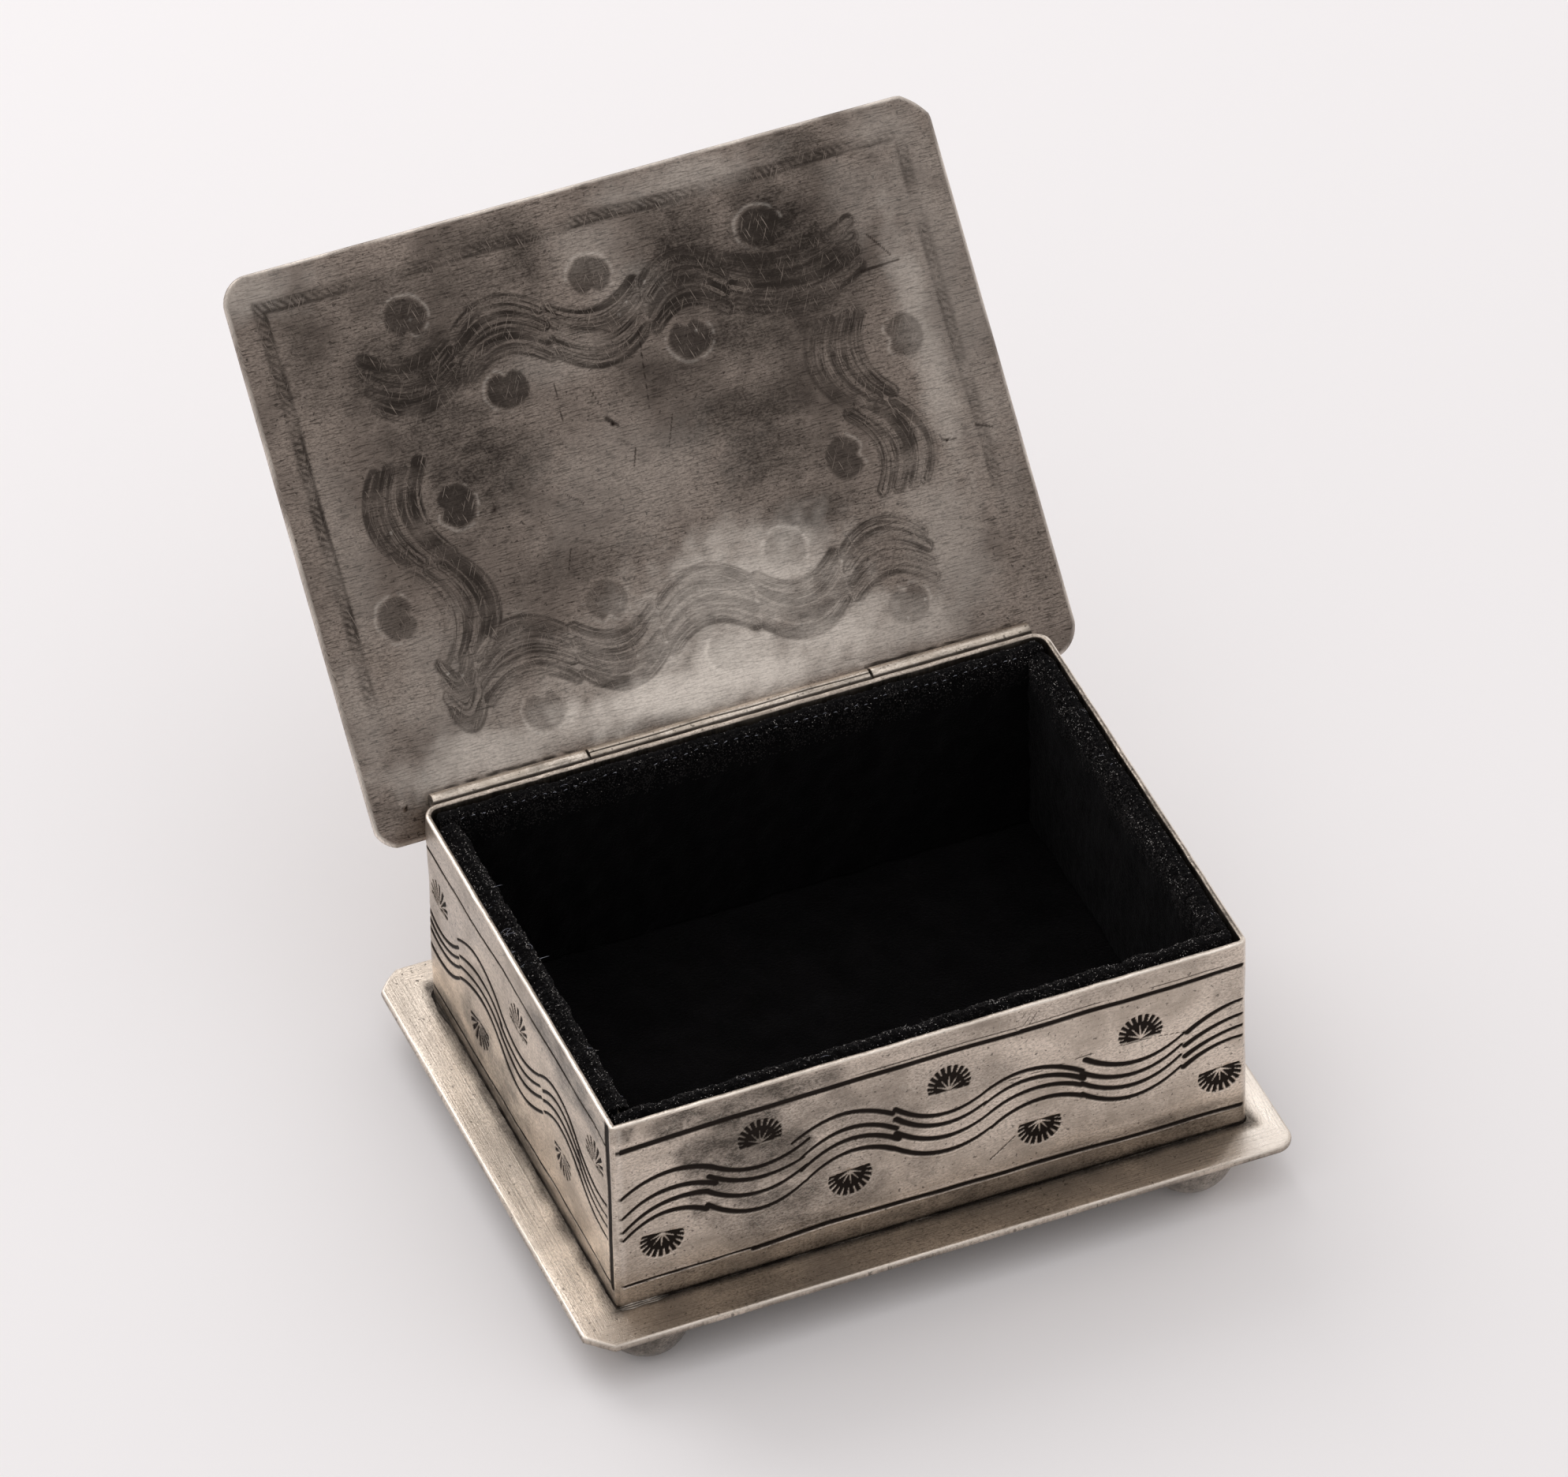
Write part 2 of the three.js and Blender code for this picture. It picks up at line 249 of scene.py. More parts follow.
class Nodes:
    """The node tree of a material or world, with short calls for the nodes used here."""

    def __init__(self, owner):
        owner.use_nodes = True
        self.tree = owner.node_tree
        self.tree.nodes.clear()

    def add(self, kind, inputs=None, **settings):
        """A node with its settings, and its inputs set to values or linked to sockets."""
        node = self.tree.nodes.new(kind)
        for name, value in settings.items():
            setattr(node, name, value)
        for name, value in (inputs or {}).items():
            if isinstance(value, bpy.types.NodeSocket):
                self.tree.links.new(value, node.inputs[name])
            else:
                node.inputs[name].default_value = value
        return node

    def mark(self, name):
        return self.add("ShaderNodeAttribute", attribute_name=name).outputs["Fac"]

    def noise(self, vector, scale, detail=4.0, roughness=0.55, distortion=0.0):
        inputs = {"Vector": vector, "Scale": scale, "Detail": detail, "Roughness": roughness}
        inputs["Distortion"] = distortion
        return self.add("ShaderNodeTexNoise", inputs).outputs["Fac"]

    def streaks(self, vector, turn, long, wide, *look):
        """Noise drawn out along a direction: its turn in degrees, and the streaks' length and width."""
        inputs = {"Vector": vector, "Rotation": (0, 0, math.radians(turn)), "Scale": (long, wide, 1)}
        laid = self.add("ShaderNodeMapping", inputs, vector_type="TEXTURE")
        return self.noise(laid.outputs["Vector"], 1.0, *look)

    def between(self, value, low, high, to_low=0.0, to_high=1.0):
        """Maps low..high to the given values with soft ends."""
        inputs = {"Value": value, "From Min": low, "From Max": high, "To Min": to_low, "To Max": to_high}
        return self.add("ShaderNodeMapRange", inputs, interpolation_type="SMOOTHSTEP").outputs["Result"]

    def math(self, operation, first, second):
        return self.add("ShaderNodeMath", {0: first, 1: second}, operation=operation).outputs[0]

    def times(self, product, *factors):
        for factor in factors:
            product = self.math("MULTIPLY", product, factor)
        return product

    def most(self, first, second):
        return self.math("MAXIMUM", first, second)

    def blend(self, share, first, second):
        inputs = {MIX_SHARE: share, MIX_FIRST: first, MIX_SECOND: second}
        return self.add("ShaderNodeMix", inputs, data_type="RGBA").outputs[MIX_RESULT]

    def finish(self, look, bumps=()):
        """The surface, with bumps laid over one another: each one's height, strength and depth."""
        look = dict(look)
        for ridges, strength, deep in bumps:
            inputs = {"Height": ridges, "Strength": strength, "Distance": deep * MM}
            if "Normal" in look:
                inputs["Normal"] = look["Normal"]
            look["Normal"] = self.add("ShaderNodeBump", inputs).outputs["Normal"]
        surface = self.add("ShaderNodeBsdfPrincipled", look).outputs["BSDF"]
        self.add("ShaderNodeOutputMaterial", {"Surface": surface})


def new_material(name):
    material = bpy.data.materials.new(name)
    return material, Nodes(material)


def solid(colour, share=1.0):
    """A colour made lighter or darker, in the form that a node takes."""
    return tuple(min(1.0, share * value) for value in colour) + (1.0,)


clean_silver_and_highlight = (0.97, 0.88, 0.79)
oxide_black = (0.024, 0.018, 0.015)
# Scratches that cross one another: their turn in degrees, length and width
scratch_runs = ((-62, 4.0, 0.16), (74, 3.0, 0.18), (12, 16.0, 0.13))


def silver(name, tone, tarnish_and_shade, gloss, patch, hair, speck=0.5, scratch=0.12):
    """Hand-worked silver: tarnish clouds, hairlines along the sheet, fine grain and dark specks, with oxide,
    smoky stains and painted shade, cross-hatched scratches, and bright wear and painted highlights where the
    mesh carries them. gloss is its roughness, patch the scale of its clouds, and hair the hairlines' length,
    width and strength."""
    material, nodes = new_material(name)
    between, noise, streaks, times = nodes.between, nodes.noise, nodes.streaks, nodes.times
    plain, bright, clean_and_highlight = solid(tone), solid(tone, 1.5), solid(clean_silver_and_highlight)
    dull, dark = solid(tarnish_and_shade), solid(tarnish_and_shade, 0.20)
    long, wide, strong = hair
    flat = nodes.add("ShaderNodeUVMap", uv_map="sheet_mm").outputs["UV"]
    oxide, stain, worn, hatch, band, lane = (nodes.mark(label) for label in mark_names)

    # Patterns that lie all over the sheet
    clouds = between(noise(flat, patch, 9.0, 0.66, 0.4), 0.40, 0.68)
    smoke = streaks(flat, 0, 4.0, 2.2, 9.0, 0.70, 0.3)
    grain = streaks(flat, 0, 0.5, 0.27, 3.0, 0.65)
    hairs = streaks(flat, 0, long, wide, 6.0, 0.66, 0.2)
    specks = between(noise(flat, 2.0, 6.0, 0.75), 0.56, 0.68, 0.0, speck)
    pits = between(noise(flat, 1.5, 2.0, 0.5), 0.64, 0.70, 0.0, 0.7)
    cuts = [between(streaks(flat, *run, 2.0, 0.5), 0.63, 0.71) for run in scratch_runs]
    crossed = nodes.most(cuts[0], cuts[1])

    # Fine lines that follow a band of wave lines
    slow = nodes.add("ShaderNodeVectorMath", {0: flat, "Scale": 0.05}, operation="SCALE").outputs["Vector"]
    across = nodes.add("ShaderNodeCombineXYZ", {"Z": times(lane, 1.25)}).outputs["Vector"]
    lanes = nodes.add("ShaderNodeVectorMath", {0: slow, 1: across}, operation="ADD").outputs["Vector"]
    ruled = between(noise(lanes, 1.0, 6.0, 0.7), 0.40, 0.56, 0.15, 1.0)

    # Marks that the mesh carries, broken up by the patterns
    smoke_and_shade = times(stain, between(smoke, 0.32, 0.68, 0.62, 1.15), between(grain, 0.42, 0.60, 0.84, 1.06))
    hatched = nodes.most(times(hatch, between(smoke, 0.32, 0.62, 0.85, 1.0)), times(band, ruled))
    # The wear mark also carries painted highlights on the lid and the plate, drawn in the clean silver colour
    rubbed_and_highlit = times(worn, between(hairs, 0.40, 0.65, 1.0, 0.72), between(grain, 0.44, 0.62, 1.0, 0.8))
    lined = times(nodes.most(hatch, times(band, 0.6)), crossed, 0.8)

    layers = (
        (clouds, dull),
        (between(grain, 0.44, 0.60, 0.0, 0.75), dull),
        (between(hairs, 0.48, 0.66, 0.0, strong), dark),
        (specks, dark),
        (pits, dark),
        (smoke_and_shade, dark),
        (rubbed_and_highlit, clean_and_highlight),
        (hatched, dark),
        (lined, nodes.blend(rubbed_and_highlit, plain, clean_and_highlight)),
        (times(cuts[2], 0.35), dark),
        (times(crossed, scratch), bright),
        (oxide, solid(oxide_black)),
    )
    colour = plain
    for share, layer in layers:
        colour = nodes.blend(share, colour, layer)
    rough = between(clouds, 0.0, 1.0, gloss, gloss + 0.10)
    rough = nodes.math("ADD", rough, between(hairs, 0.3, 0.8, 0.0, 0.06))
    rough = nodes.math("ADD", rough, times(oxide, 0.35))
    rough = nodes.math("SUBTRACT", rough, times(worn, 0.03))
    look = {"Base Color": colour, "Metallic": 1.0, "Roughness": rough}
    nodes.finish(look, ((hairs, 0.5, 0.06), (grain, 0.4, 0.05), (crossed, 0.25, 0.04)))
    return material


def velvet(name, colour, sheen):
    """Short black pile with a little sheen, combed unevenly."""
    material, nodes = new_material(name)
    place = nodes.add("ShaderNodeTexCoord").outputs["Object"]
    pile = nodes.noise(place, 3200.0, 3.0, 0.7)
    combed = nodes.noise(place, 160.0, 4.0, 0.6, 0.4)
    tint = solid(colour, 2.6)
    shade = nodes.blend(nodes.between(combed, 0.35, 0.75), solid(colour), tint)
    shade = nodes.blend(nodes.between(pile, 0.55, 0.8, 0.0, 0.7), shade, tint)
    look = {"Base Color": shade, "Roughness": 1.0, "Specular IOR Level": 0.05, "Sheen Weight": sheen,
            "Sheen Roughness": 0.45, "Sheen Tint": (0.55, 0.54, 0.56, 1.0)}
    nodes.finish(look, ((pile, 0.8, 0.4),))
    return material


def plain_fibre(name, colour, lighter):
    """Thread or card with uneven colour."""
    material, nodes = new_material(name)
    place = nodes.add("ShaderNodeTexCoord").outputs["Object"]
    fleck = nodes.noise(place, 900.0, 4.0, 0.65)
    shade = nodes.blend(nodes.between(fleck, 0.4, 0.7), solid(colour), solid(lighter))
    nodes.finish({"Base Color": shade, "Roughness": 0.9}, ((fleck, 0.4, 0.2),))
    return material


wall_silver = silver("wall_silver", (0.80, 0.69, 0.59), (0.46, 0.39, 0.325), 0.28, 0.09, (30, 0.5, 0.12))
plate_silver = silver(
    "plate_silver", (0.76, 0.66, 0.56), (0.48, 0.41, 0.345), 0.28, 0.07, (16, 0.22, 0.4), 0.6, 0.03)
# The lid's low tone is tarnish and painted shade together: its underside mirrors the dim side of the room
lid_silver_with_painted_shade = silver(
    "lid_silver_with_painted_shade", (0.33, 0.271, 0.231), (0.175, 0.141, 0.120), 0.30, 0.06, (2.2, 0.2, 0.8), 0.6)
hinge_silver = silver("hinge_silver", (0.80, 0.71, 0.62), (0.48, 0.41, 0.34), 0.28, 0.12, (20, 0.5, 0.4))
foot_silver = silver("foot_silver", (0.60, 0.53, 0.46), (0.26, 0.23, 0.20), 0.30, 0.12, (3, 3, 0.4))
solder_silver = silver("solder_silver", (0.30, 0.26, 0.22), (0.10, 0.088, 0.075), 0.38, 0.3, (2.5, 2.5, 0.4))
black_velvet = velvet("black_velvet", (0.0013, 0.0011, 0.0012), 0.05)
pile_velvet = velvet("pile_velvet", (0.012, 0.0105, 0.010), 0.15)
loose_fibre = plain_fibre("loose_fibre", (0.34, 0.315, 0.30), (0.62, 0.59, 0.57))
grey_thread = plain_fibre("grey_thread", (0.16, 0.165, 0.20), (0.36, 0.37, 0.42))
grey_card = plain_fibre("grey_card", (0.24, 0.21, 0.17), (0.33, 0.29, 0.24))


# Stamps and chisel marks, drawn on a flat face in millimetres

def through(start, middle, end, steps=14):
    """A smooth run of points from start to end that passes through the middle point."""
    a, b, c = (np.array(p, float) for p in (start, middle, end))
    first, second = np.linalg.norm(b - a), np.linalg.norm(c - b)
    at = first / (first + second)
    t = np.linspace(0, 1, steps)[:, None]
    return a * (t - at) * (t - 1) / at + b * t * (t - 1) / (at * (at - 1)) + c * t * (t - at) / (1 - at)


def to_stretch(x, y, start, run):
    """How far along a straight stretch each point lies, from 0 to 1, and how far from it."""
    share = np.clip(((x - start[0]) * run[0] + (y - start[1]) * run[1]) / max(run @ run, 1e-9), 0, 1)
    return share, np.hypot(x - start[0] - share * run[0], y - start[1] - share * run[1])


def signed_gap(x, y, path):
    """Distance from a path in millimetres, below 0 on its right side."""
    best = np.full(np.shape(x), 99.0)
    for start, run in zip(path, np.diff(path, axis=0)):
        _, gap = to_stretch(x, y, start, run)
        side = np.sign(run[0] * (y - start[1]) - run[1] * (x - start[0]))
        best = np.where(gap < np.abs(best), gap * side, best)
    return best


def stroke_profile(x, y, path, half_width):
    """1 on a stroke's centre line, 0 at its edge and below 0 outside it."""
    best = np.full(np.shape(x), -9.0)
    for start, run, from_width, to_width in zip(path, np.diff(path, axis=0), half_width, half_width[1:]):
        share, gap = to_stretch(x, y, start, run)
        best = np.maximum(best, 1 - gap / (from_width + share * (to_width - from_width)))
    return best


def near(x, y, low, high, margin):
    """Which points lie in a rectangle or within a margin of it."""
    in_x = (x > low[0] - margin) & (x < high[0] + margin)
    return np.nonzero(in_x & (y > low[1] - margin) & (y < high[1] + margin))


def distance(x, y, centre):
    return np.hypot(x - centre[0], y - centre[1])


fan_half = 3.0
fan_rise = 4.3
fan_ribs = (-64, -32, 0, 32, 64)
# How many teeth a fan's arch has, where the gaps between them begin, and how wide they are
fine_teeth = (14, 0.66, 0.25)
coarse_teeth = (10, 0.28, 0.40)


def fan_profile(u, w, tilt, teeth):
    """Depth of a fan stamp, 0 to 1: u runs along its straight side and w towards its arch. Light gaps between
    teeth cut into the arch, and light ribs spread from the middle of the straight side."""
    count, gaps_from, gap_share = teeth
    focus = 0.2
    centre = fan_rise - fan_half - focus
    turn = np.arctan2(u, w - focus)
    reach = np.hypot(u, w - focus)
    edge = centre * np.cos(turn) + np.sqrt(fan_half ** 2 - 0.5 * (centre * np.sin(turn)) ** 2)
    t = reach / edge
    pitch = math.radians(205) / count
    off_tooth = 2 * np.abs((turn / pitch + 0.5) % 1 - 0.5)
    share = gap_share + 0.16 * smooth(0.7, 1.0, t) - 0.14 * smooth(1.0, 1.5, np.abs(turn))
    light = smooth(1 - share - 0.18, 1 - share + 0.18, off_tooth) * smooth(gaps_from, gaps_from + 0.07, t)
    for angle in fan_ribs:
        off = turn - math.radians(angle)
        half = 0.19 * np.clip(1 - t / 0.68, 0.001, 1)
        rib = 1 - smooth(0.6, 1.4, np.abs(np.sin(off)) * reach / half)
        light = np.maximum(light, rib * (np.cos(off) > 0) * (1 - smooth(0.5, 0.62, t)))
    whole = (1 - light) * (1 - smooth(0.97, 1.03, t)) * smooth(-0.06, 0.08, w)
    return whole * np.clip(1 + tilt * u / fan_half, 0, 1.15)


stroke_cut = 0.17
line_cut = 0.15
stroke_lip = 0.03
fan_cut = 0.2
fan_margin = 5.2


class Relief:
    """Marks worked into one face: chisel strokes, fan stamps, and stains with painted shade."""

    def __init__(self):
        self.strokes = []
        self.fans = []
        self.stains_and_shade = []

    def stroke(self, path, widths, cut=stroke_cut):
        """A chisel line: widths at its start, middle and end."""
        half = np.interp(np.linspace(0, 2, len(path)), (0, 1, 2), np.array(widths) / 2)
        self.strokes.append((np.array(path, float), half, cut))

    def fan(self, centre, turn, tilt=0.0, teeth=fine_teeth):
        """A fan stamp: its straight side's middle, and the way its arch points, in degrees from up."""
        self.fans.append((np.array(centre, float), math.radians(turn), tilt, teeth))

    def stain(self, centre, size, strength):
        self.stains_and_shade.append((centre, size, strength))

    def cut(self, x, y):
        """Depth below the face in millimetres, and oxide from 0 to 1."""
        deep, oxide, lip = (np.zeros(np.shape(x)) for _ in range(3))
        for path, half, cut in self.strokes:
            at = near(x, y, path.min(0), path.max(0), 1.0)
            profile = stroke_profile(x[at], y[at], path, half)
            beside = smooth(-0.9, -0.3, profile) * (1 - smooth(-0.3, 0.1, profile))
            deep[at] = np.maximum(deep[at], cut * np.clip(profile * 1.5, 0, 1))
            oxide[at] = np.maximum(oxide[at], smooth(-0.05, 0.3, profile))
            lip[at] = np.maximum(lip[at], stroke_lip * beside)
        for centre, turn, tilt, teeth in self.fans:
            at = near(x, y, centre, centre, fan_margin)
            dx, dy = x[at] - centre[0], y[at] - centre[1]
            u = dx * math.cos(turn) - dy * math.sin(turn)
            w = dx * math.sin(turn) + dy * math.cos(turn)
            profile = fan_profile(u, w, tilt, teeth)
            deep[at] = np.maximum(deep[at], fan_cut * profile)
            oxide[at] = np.maximum(oxide[at], smooth(0.1, 0.55, profile))
        return deep - lip * (deep < 0.01), oxide

    def worked(self, x, y):
        """Where the face is cut or darkened, and needs fine cells."""
        deep, oxide = self.cut(x, y)
        return (np.abs(deep) > 0.004) | (oxide > 0.02)

    def stained_and_shaded(self, x, y):
        """Stain and painted shade from 0 to 1, with uneven edges."""
        total = np.zeros(np.shape(x))
        for centre, (long, tall), strength in self.stains_and_shade:
            away = np.hypot((x - centre[0]) / long, (y - centre[1]) / tall)
            away = away + 0.22 * ripple(x, y, long * 0.7, int(centre[0] * 7 + centre[1]))
            total = np.maximum(total, strength * (1 - smooth(0.5, 1.2, away)))
        return total


# Wall: one strip round the box, flattened as distance along it and height

class Outline:
    """The wall's outer face in plan, from the end of the front left bend round to it again."""

    def __init__(self):
        x, y = width / 2, depth / 2
        fl, fr, b = bend_front_left, bend_front_right, bend_back
        self.runs = [
            ("line", (-x + fl, -y), (x - fr, -y)),
            ("bend", (x - fr, -y + fr), fr, -90),
            ("line", (x, -y + fr), (x, y - b)),
            ("bend", (x - b, y - b), b, 0),
            ("line", (x - b, y), (-x + b, y)),
            ("bend", (-x + b, y - b), b, 90),
            ("line", (-x, y - b), (-x, -y + fl)),
            ("bend", (-x + fl, -y + fl), fl, 180),
        ]
        lengths = [math.dist(run[1], run[2]) if run[0] == "line" else run[2] * math.pi / 2
                   for run in self.runs]
        self.starts = np.concatenate([[0], np.cumsum(lengths)])
        self.length = self.starts[-1]

    def at(self, along):
        """Place and outward direction in plan at distances along the strip."""
        place, out = np.zeros(along.shape + (2,)), np.zeros(along.shape + (2,))
        which = np.clip(np.searchsorted(self.starts, along, side="right") - 1, 0, len(self.runs) - 1)
        for number, run in enumerate(self.runs):
            chosen = which == number
            far = along[chosen] - self.starts[number]
            if run[0] == "line":
                a, b = np.array(run[1]), np.array(run[2])
                step = (b - a) / np.linalg.norm(b - a)
                place[chosen] = a + far[:, None] * step
                out[chosen] = (step[1], -step[0])
            else:
                angle = math.radians(run[3]) + far / run[2]
                way = np.stack([np.cos(angle), np.sin(angle)], -1)
                place[chosen] = np.array(run[1]) + run[2] * way
                out[chosen] = way
        return place, out


outline = Outline()

# Chisel lines read off the photograph, as millimetres from the left end of the face and below the rim.
# Each line is a row of curved strokes, and each stroke has a start, a middle and an end.
front_waves = (
    (((0.6, 13.3), (8.3, 10.4), (13.7, 11.8)), ((13.9, 11.9), (20.6, 14.3), (27.5, 11.8)),
     ((25.1, 11.9), (31.7, 9.4), (39.3, 11.9)), ((39.7, 11.3), (47.2, 14.6), (52.0, 13.2)),
     ((51.5, 13.5), (58.2, 11.2), (66.2, 14.3)), ((66.7, 12.5), (74.0, 15.5), (80.7, 12.9)),
     ((81.2, 12.9), (85.0, 10.8), (89.1, 10.0))),
    (((1.1, 16.5), (8.3, 13.4), (14.3, 14.9)), ((13.4, 13.4), (20.8, 16.2), (26.7, 14.9)),
     ((26.0, 15.2), (32.8, 12.2), (39.8, 14.7)), ((39.8, 13.1), (47.5, 16.4), (52.5, 14.8)),
     ((52.2, 15.2), (58.9, 12.9), (66.4, 15.7)), ((66.2, 14.7), (73.7, 17.5), (80.4, 14.8)),
     ((80.9, 15.2), (85.0, 13.3), (89.1, 12.6))),
    (((1.2, 18.9), (8.6, 15.4), (13.1, 15.9)), ((13.3, 16.1), (20.9, 18.8), (27.1, 16.4)),
     ((26.3, 17.3), (33.1, 14.2), (40.1, 16.7)), ((39.8, 15.6), (47.8, 18.7), (53.0, 17.0)),
     ((52.8, 17.1), (59.3, 14.8), (66.1, 16.7)), ((66.1, 16.5), (73.9, 19.4), (80.3, 16.6)),
     ((80.9, 17.1), (85.0, 15.3), (89.1, 14.6))),
    (((1.2, 20.4), (8.8, 17.4), (12.9, 18.9)), ((13.1, 18.3), (20.6, 21.7), (26.9, 19.2)),
     ((26.9, 19.3), (33.1, 16.4), (39.4, 18.2)), ((39.6, 18.3), (47.8, 21.3), (53.3, 19.5)),
     ((53.2, 19.7), (60.0, 17.0), (66.3, 18.7)), ((66.1, 18.4), (73.6, 21.4), (80.3, 18.6)),
     ((80.7, 18.9), (85.0, 16.9), (89.1, 16.4))),
)
left_waves = (
    (((1.4, 16.3), (6.1, 17.4), (12.8, 14.3)), ((12.5, 13.1), (20.3, 10.4), (27.8, 13.1)),
     ((27.9, 13.2), (35.0, 15.0), (41.7, 12.8)), ((42.1, 12.5), (48.1, 10.2), (55.6, 13.3)),
     ((55.6, 13.3), (62.2, 16.1), (65.3, 15.9))),
    (((1.4, 17.9), (6.1, 18.9), (12.8, 16.2)), ((13.1, 15.6), (20.6, 13.5), (28.1, 15.3)),
     ((27.8, 15.6), (35.3, 17.1), (41.9, 14.6)), ((42.8, 14.7), (48.6, 12.2), (55.6, 14.9)),
     ((55.6, 14.6), (61.9, 17.9), (65.3, 17.9))),
    (((1.4, 19.4), (5.9, 20.5), (12.8, 17.9)), ((13.1, 17.5), (20.8, 15.7), (27.8, 17.2)),
     ((27.5, 17.2), (35.3, 19.1), (42.2, 16.4)), ((42.8, 16.4), (48.9, 14.2), (55.4, 16.2)),
     ((55.6, 16.1), (61.9, 19.6), (65.3, 19.6))),
    (((1.6, 22.4), (6.1, 23.1), (12.5, 20.1)), ((12.9, 19.7), (20.8, 17.4), (27.2, 19.4)),
     ((27.2, 19.3), (34.7, 21.8), (42.1, 19.2)), ((42.9, 18.4), (49.7, 15.9), (55.3, 18.1)),
     ((55.6, 18.1), (61.7, 21.6), (65.3, 21.7))),
)
# Fan stamps on each face, by the middle of the straight side: those with the arch upwards, then downwards
fans_up = {
    "front": ((20.7, 10.2), (47.3, 10.8), (74.6, 11.8)),
    "right": ((20.5, 11.2), (47.0, 11.2)),
    "back": ((21.0, 11.2), (45.5, 11.2), (69.5, 11.2)),
    "left": ((5.8, 13.1), (34.7, 11.1), (61.3, 11.9)),
}
fans_down = {
    "front": ((6.7, 20.8), (33.1, 19.7), (60.1, 20.7), (85.8, 21.0)),
    "right": ((7.5, 20.8), (34.0, 20.8), (60.5, 20.8)),
    "back": ((8.5, 20.8), (33.0, 20.8), (57.5, 20.8), (82.0, 20.8)),
    "left": ((19.6, 21.9), (49.4, 19.8)),
}
# Scribed lines, the seam at the end of the left face, and scratches: their points and width
scribed = {
    "front": (
        (((0.5, 4.6), (14, 4.2), (27, 4.0), (42, 4.0), (57.8, 4.1)), 1.1),
        (((57.6, 4.0), (72, 4.2), (89, 3.8)), 1.0),
        (((1, 28.6), (10, 28.4), (19.5, 28.2)), 0.50),
        (((19.3, 28.5), (30, 27.9), (60, 28.4), (89, 28.8)), 0.92),
        (((30, 3.1), (58, 3.2), (87, 3.0)), 0.10),
        (((53, 12.3), (66, 11.8), (72, 11.9)), 0.08),
        (((72.4, 12.0), (77, 12.1), (81, 12.7)), 0.10),
        (((53.0, 25.2), (54.6, 24.0), (56.6, 22.4)), 0.20),
        (((58.0, 2.9), (58.4, 2.4), (58.9, 1.7)), 0.12),
        (((58.8, 3.0), (59.2, 2.4), (59.8, 1.5)), 0.12),
        (((57.7, 1.8), (57.9, 1.5), (58.1, 1.2)), 0.10),
    ),
    "right": (
        (((1.5, 4.2), (30, 4.4), (66, 4.1)), 0.4),
        (((1.5, 28.6), (30, 28.4), (66, 28.6)), 0.4),
    ),
    "back": (
        (((2, 4.2), (45, 4.4), (88, 4.2)), 0.4),
        (((2, 28.4), (45, 28.6), (88, 28.4)), 0.4),
    ),
    "left": (
        (((1.1, 5.1), (16.7, 5.0), (35.5, 4.3), (47.8, 4.4), (61.1, 4.3), (66, 4.7)), 0.66),
        (((1.4, 30.0), (16.7, 29.9), (35.5, 29.2), (55.5, 28.9), (66, 29.2)), 0.64),
        (((66.45, 0.8), (66.5, 14), (66.45, 29.4)), 1.7),
    ),
}
# Smoky stains on the faces in view, with painted shade low on the faces and over the left face: where, how
# long and tall, and how strong
smoke_and_shade = {
    "front": (
        (17.5, 9.5, 9.5, 8.0, 0.96), (22.0, 13.0, 8.5, 5.0, 0.85), (20.0, 1.9, 19.0, 3.2, 0.9),
        (16.0, 14.5, 6.5, 7.0, 0.78), (23.0, 22.5, 9.0, 7.0, 0.75), (32.5, 24.0, 7.0, 4.5, 0.5),
        (35.0, 12.0, 9.0, 8.0, 0.55), (43.0, 8.0, 16.0, 6.0, 0.36), (27.0, 8.0, 6.0, 4.0, 0.55),
        (43.0, 22.5, 2.5, 3.5, 0.35), (60.0, 1.2, 36.0, 2.4, 0.34), (14.0, 30.3, 14.0, 2.4, 0.55),
        (46.0, 30.4, 14.0, 2.6, 0.72), (50.0, 32.2, 60.0, 1.7, 0.85), (58.0, 32.0, 46.0, 3.4, 0.75),
        (66.0, 30.6, 24.0, 2.6, 0.6), (78.0, 27.9, 20.0, 1.7, 0.6), (84.0, 30.4, 11.0, 2.4, 0.75),
        (1.6, 1.6, 1.9, 1.6, 0.8), (4.0, 15.0, 9.0, 16.0, 0.13), (88.0, 6.0, 4.0, 7.0, 0.25),
    ),
    "right": (),
    "back": (),
    "left": (
        (10.0, 12.0, 12.0, 6.0, 0.2), (22.0, 30.6, 26.0, 3.2, 0.95), (64.5, 28.5, 4.0, 6.0, 0.6),
        (40.0, 1.5, 32.0, 2.6, 0.38), (34.0, 10.0, 60.0, 22.0, 0.3), (34.0, 32.2, 44.0, 1.5, 0.8),
        (25.0, 24.6, 16.0, 6.0, 0.9), (52.0, 3.6, 14.0, 5.2, 0.95), (34.0, 2.5, 60.0, 7.0, 0.38),
    ),
}


def chisel(relief, points, bold=1.0, last=False):
    """One curved stroke. A crest ends blunt; a trough, and the last stroke of a row, start blunt."""
    blunt = bold * rng.uniform(0.86, 1.02)
    thin = bold * rng.uniform(0.4, 0.54)
    crest = points[1][1] > (points[0][1] + points[2][1]) / 2
    start, end = (thin, blunt) if crest and not last else (blunt, thin)
    relief.stroke(through(*points), (start, bold * rng.uniform(0.66, 0.8), end))


def plain_waves(start, end, count, lines=4, middle=16.0, gap=2.1, swing=2.3):
    """Rows of strokes for a face that the photograph doesn't show, in the same form as the lists above."""
    joints = np.linspace(start, end, count + 1)
    rows = []
    for line in range(lines):
        base = middle + (line - (lines - 1) / 2) * gap
        row = []
        for number, (a, b) in enumerate(zip(joints, joints[1:])):
            crest = base + (swing if number % 2 else -swing) / 2 + rng.uniform(-0.2, 0.2)
            levels = base + rng.uniform(-0.3, 0.3), crest, base + rng.uniform(-0.3, 0.3)
            row.append(tuple(zip((a, (a + b) / 2, b), levels)))
        rows.append(row)
    return rows


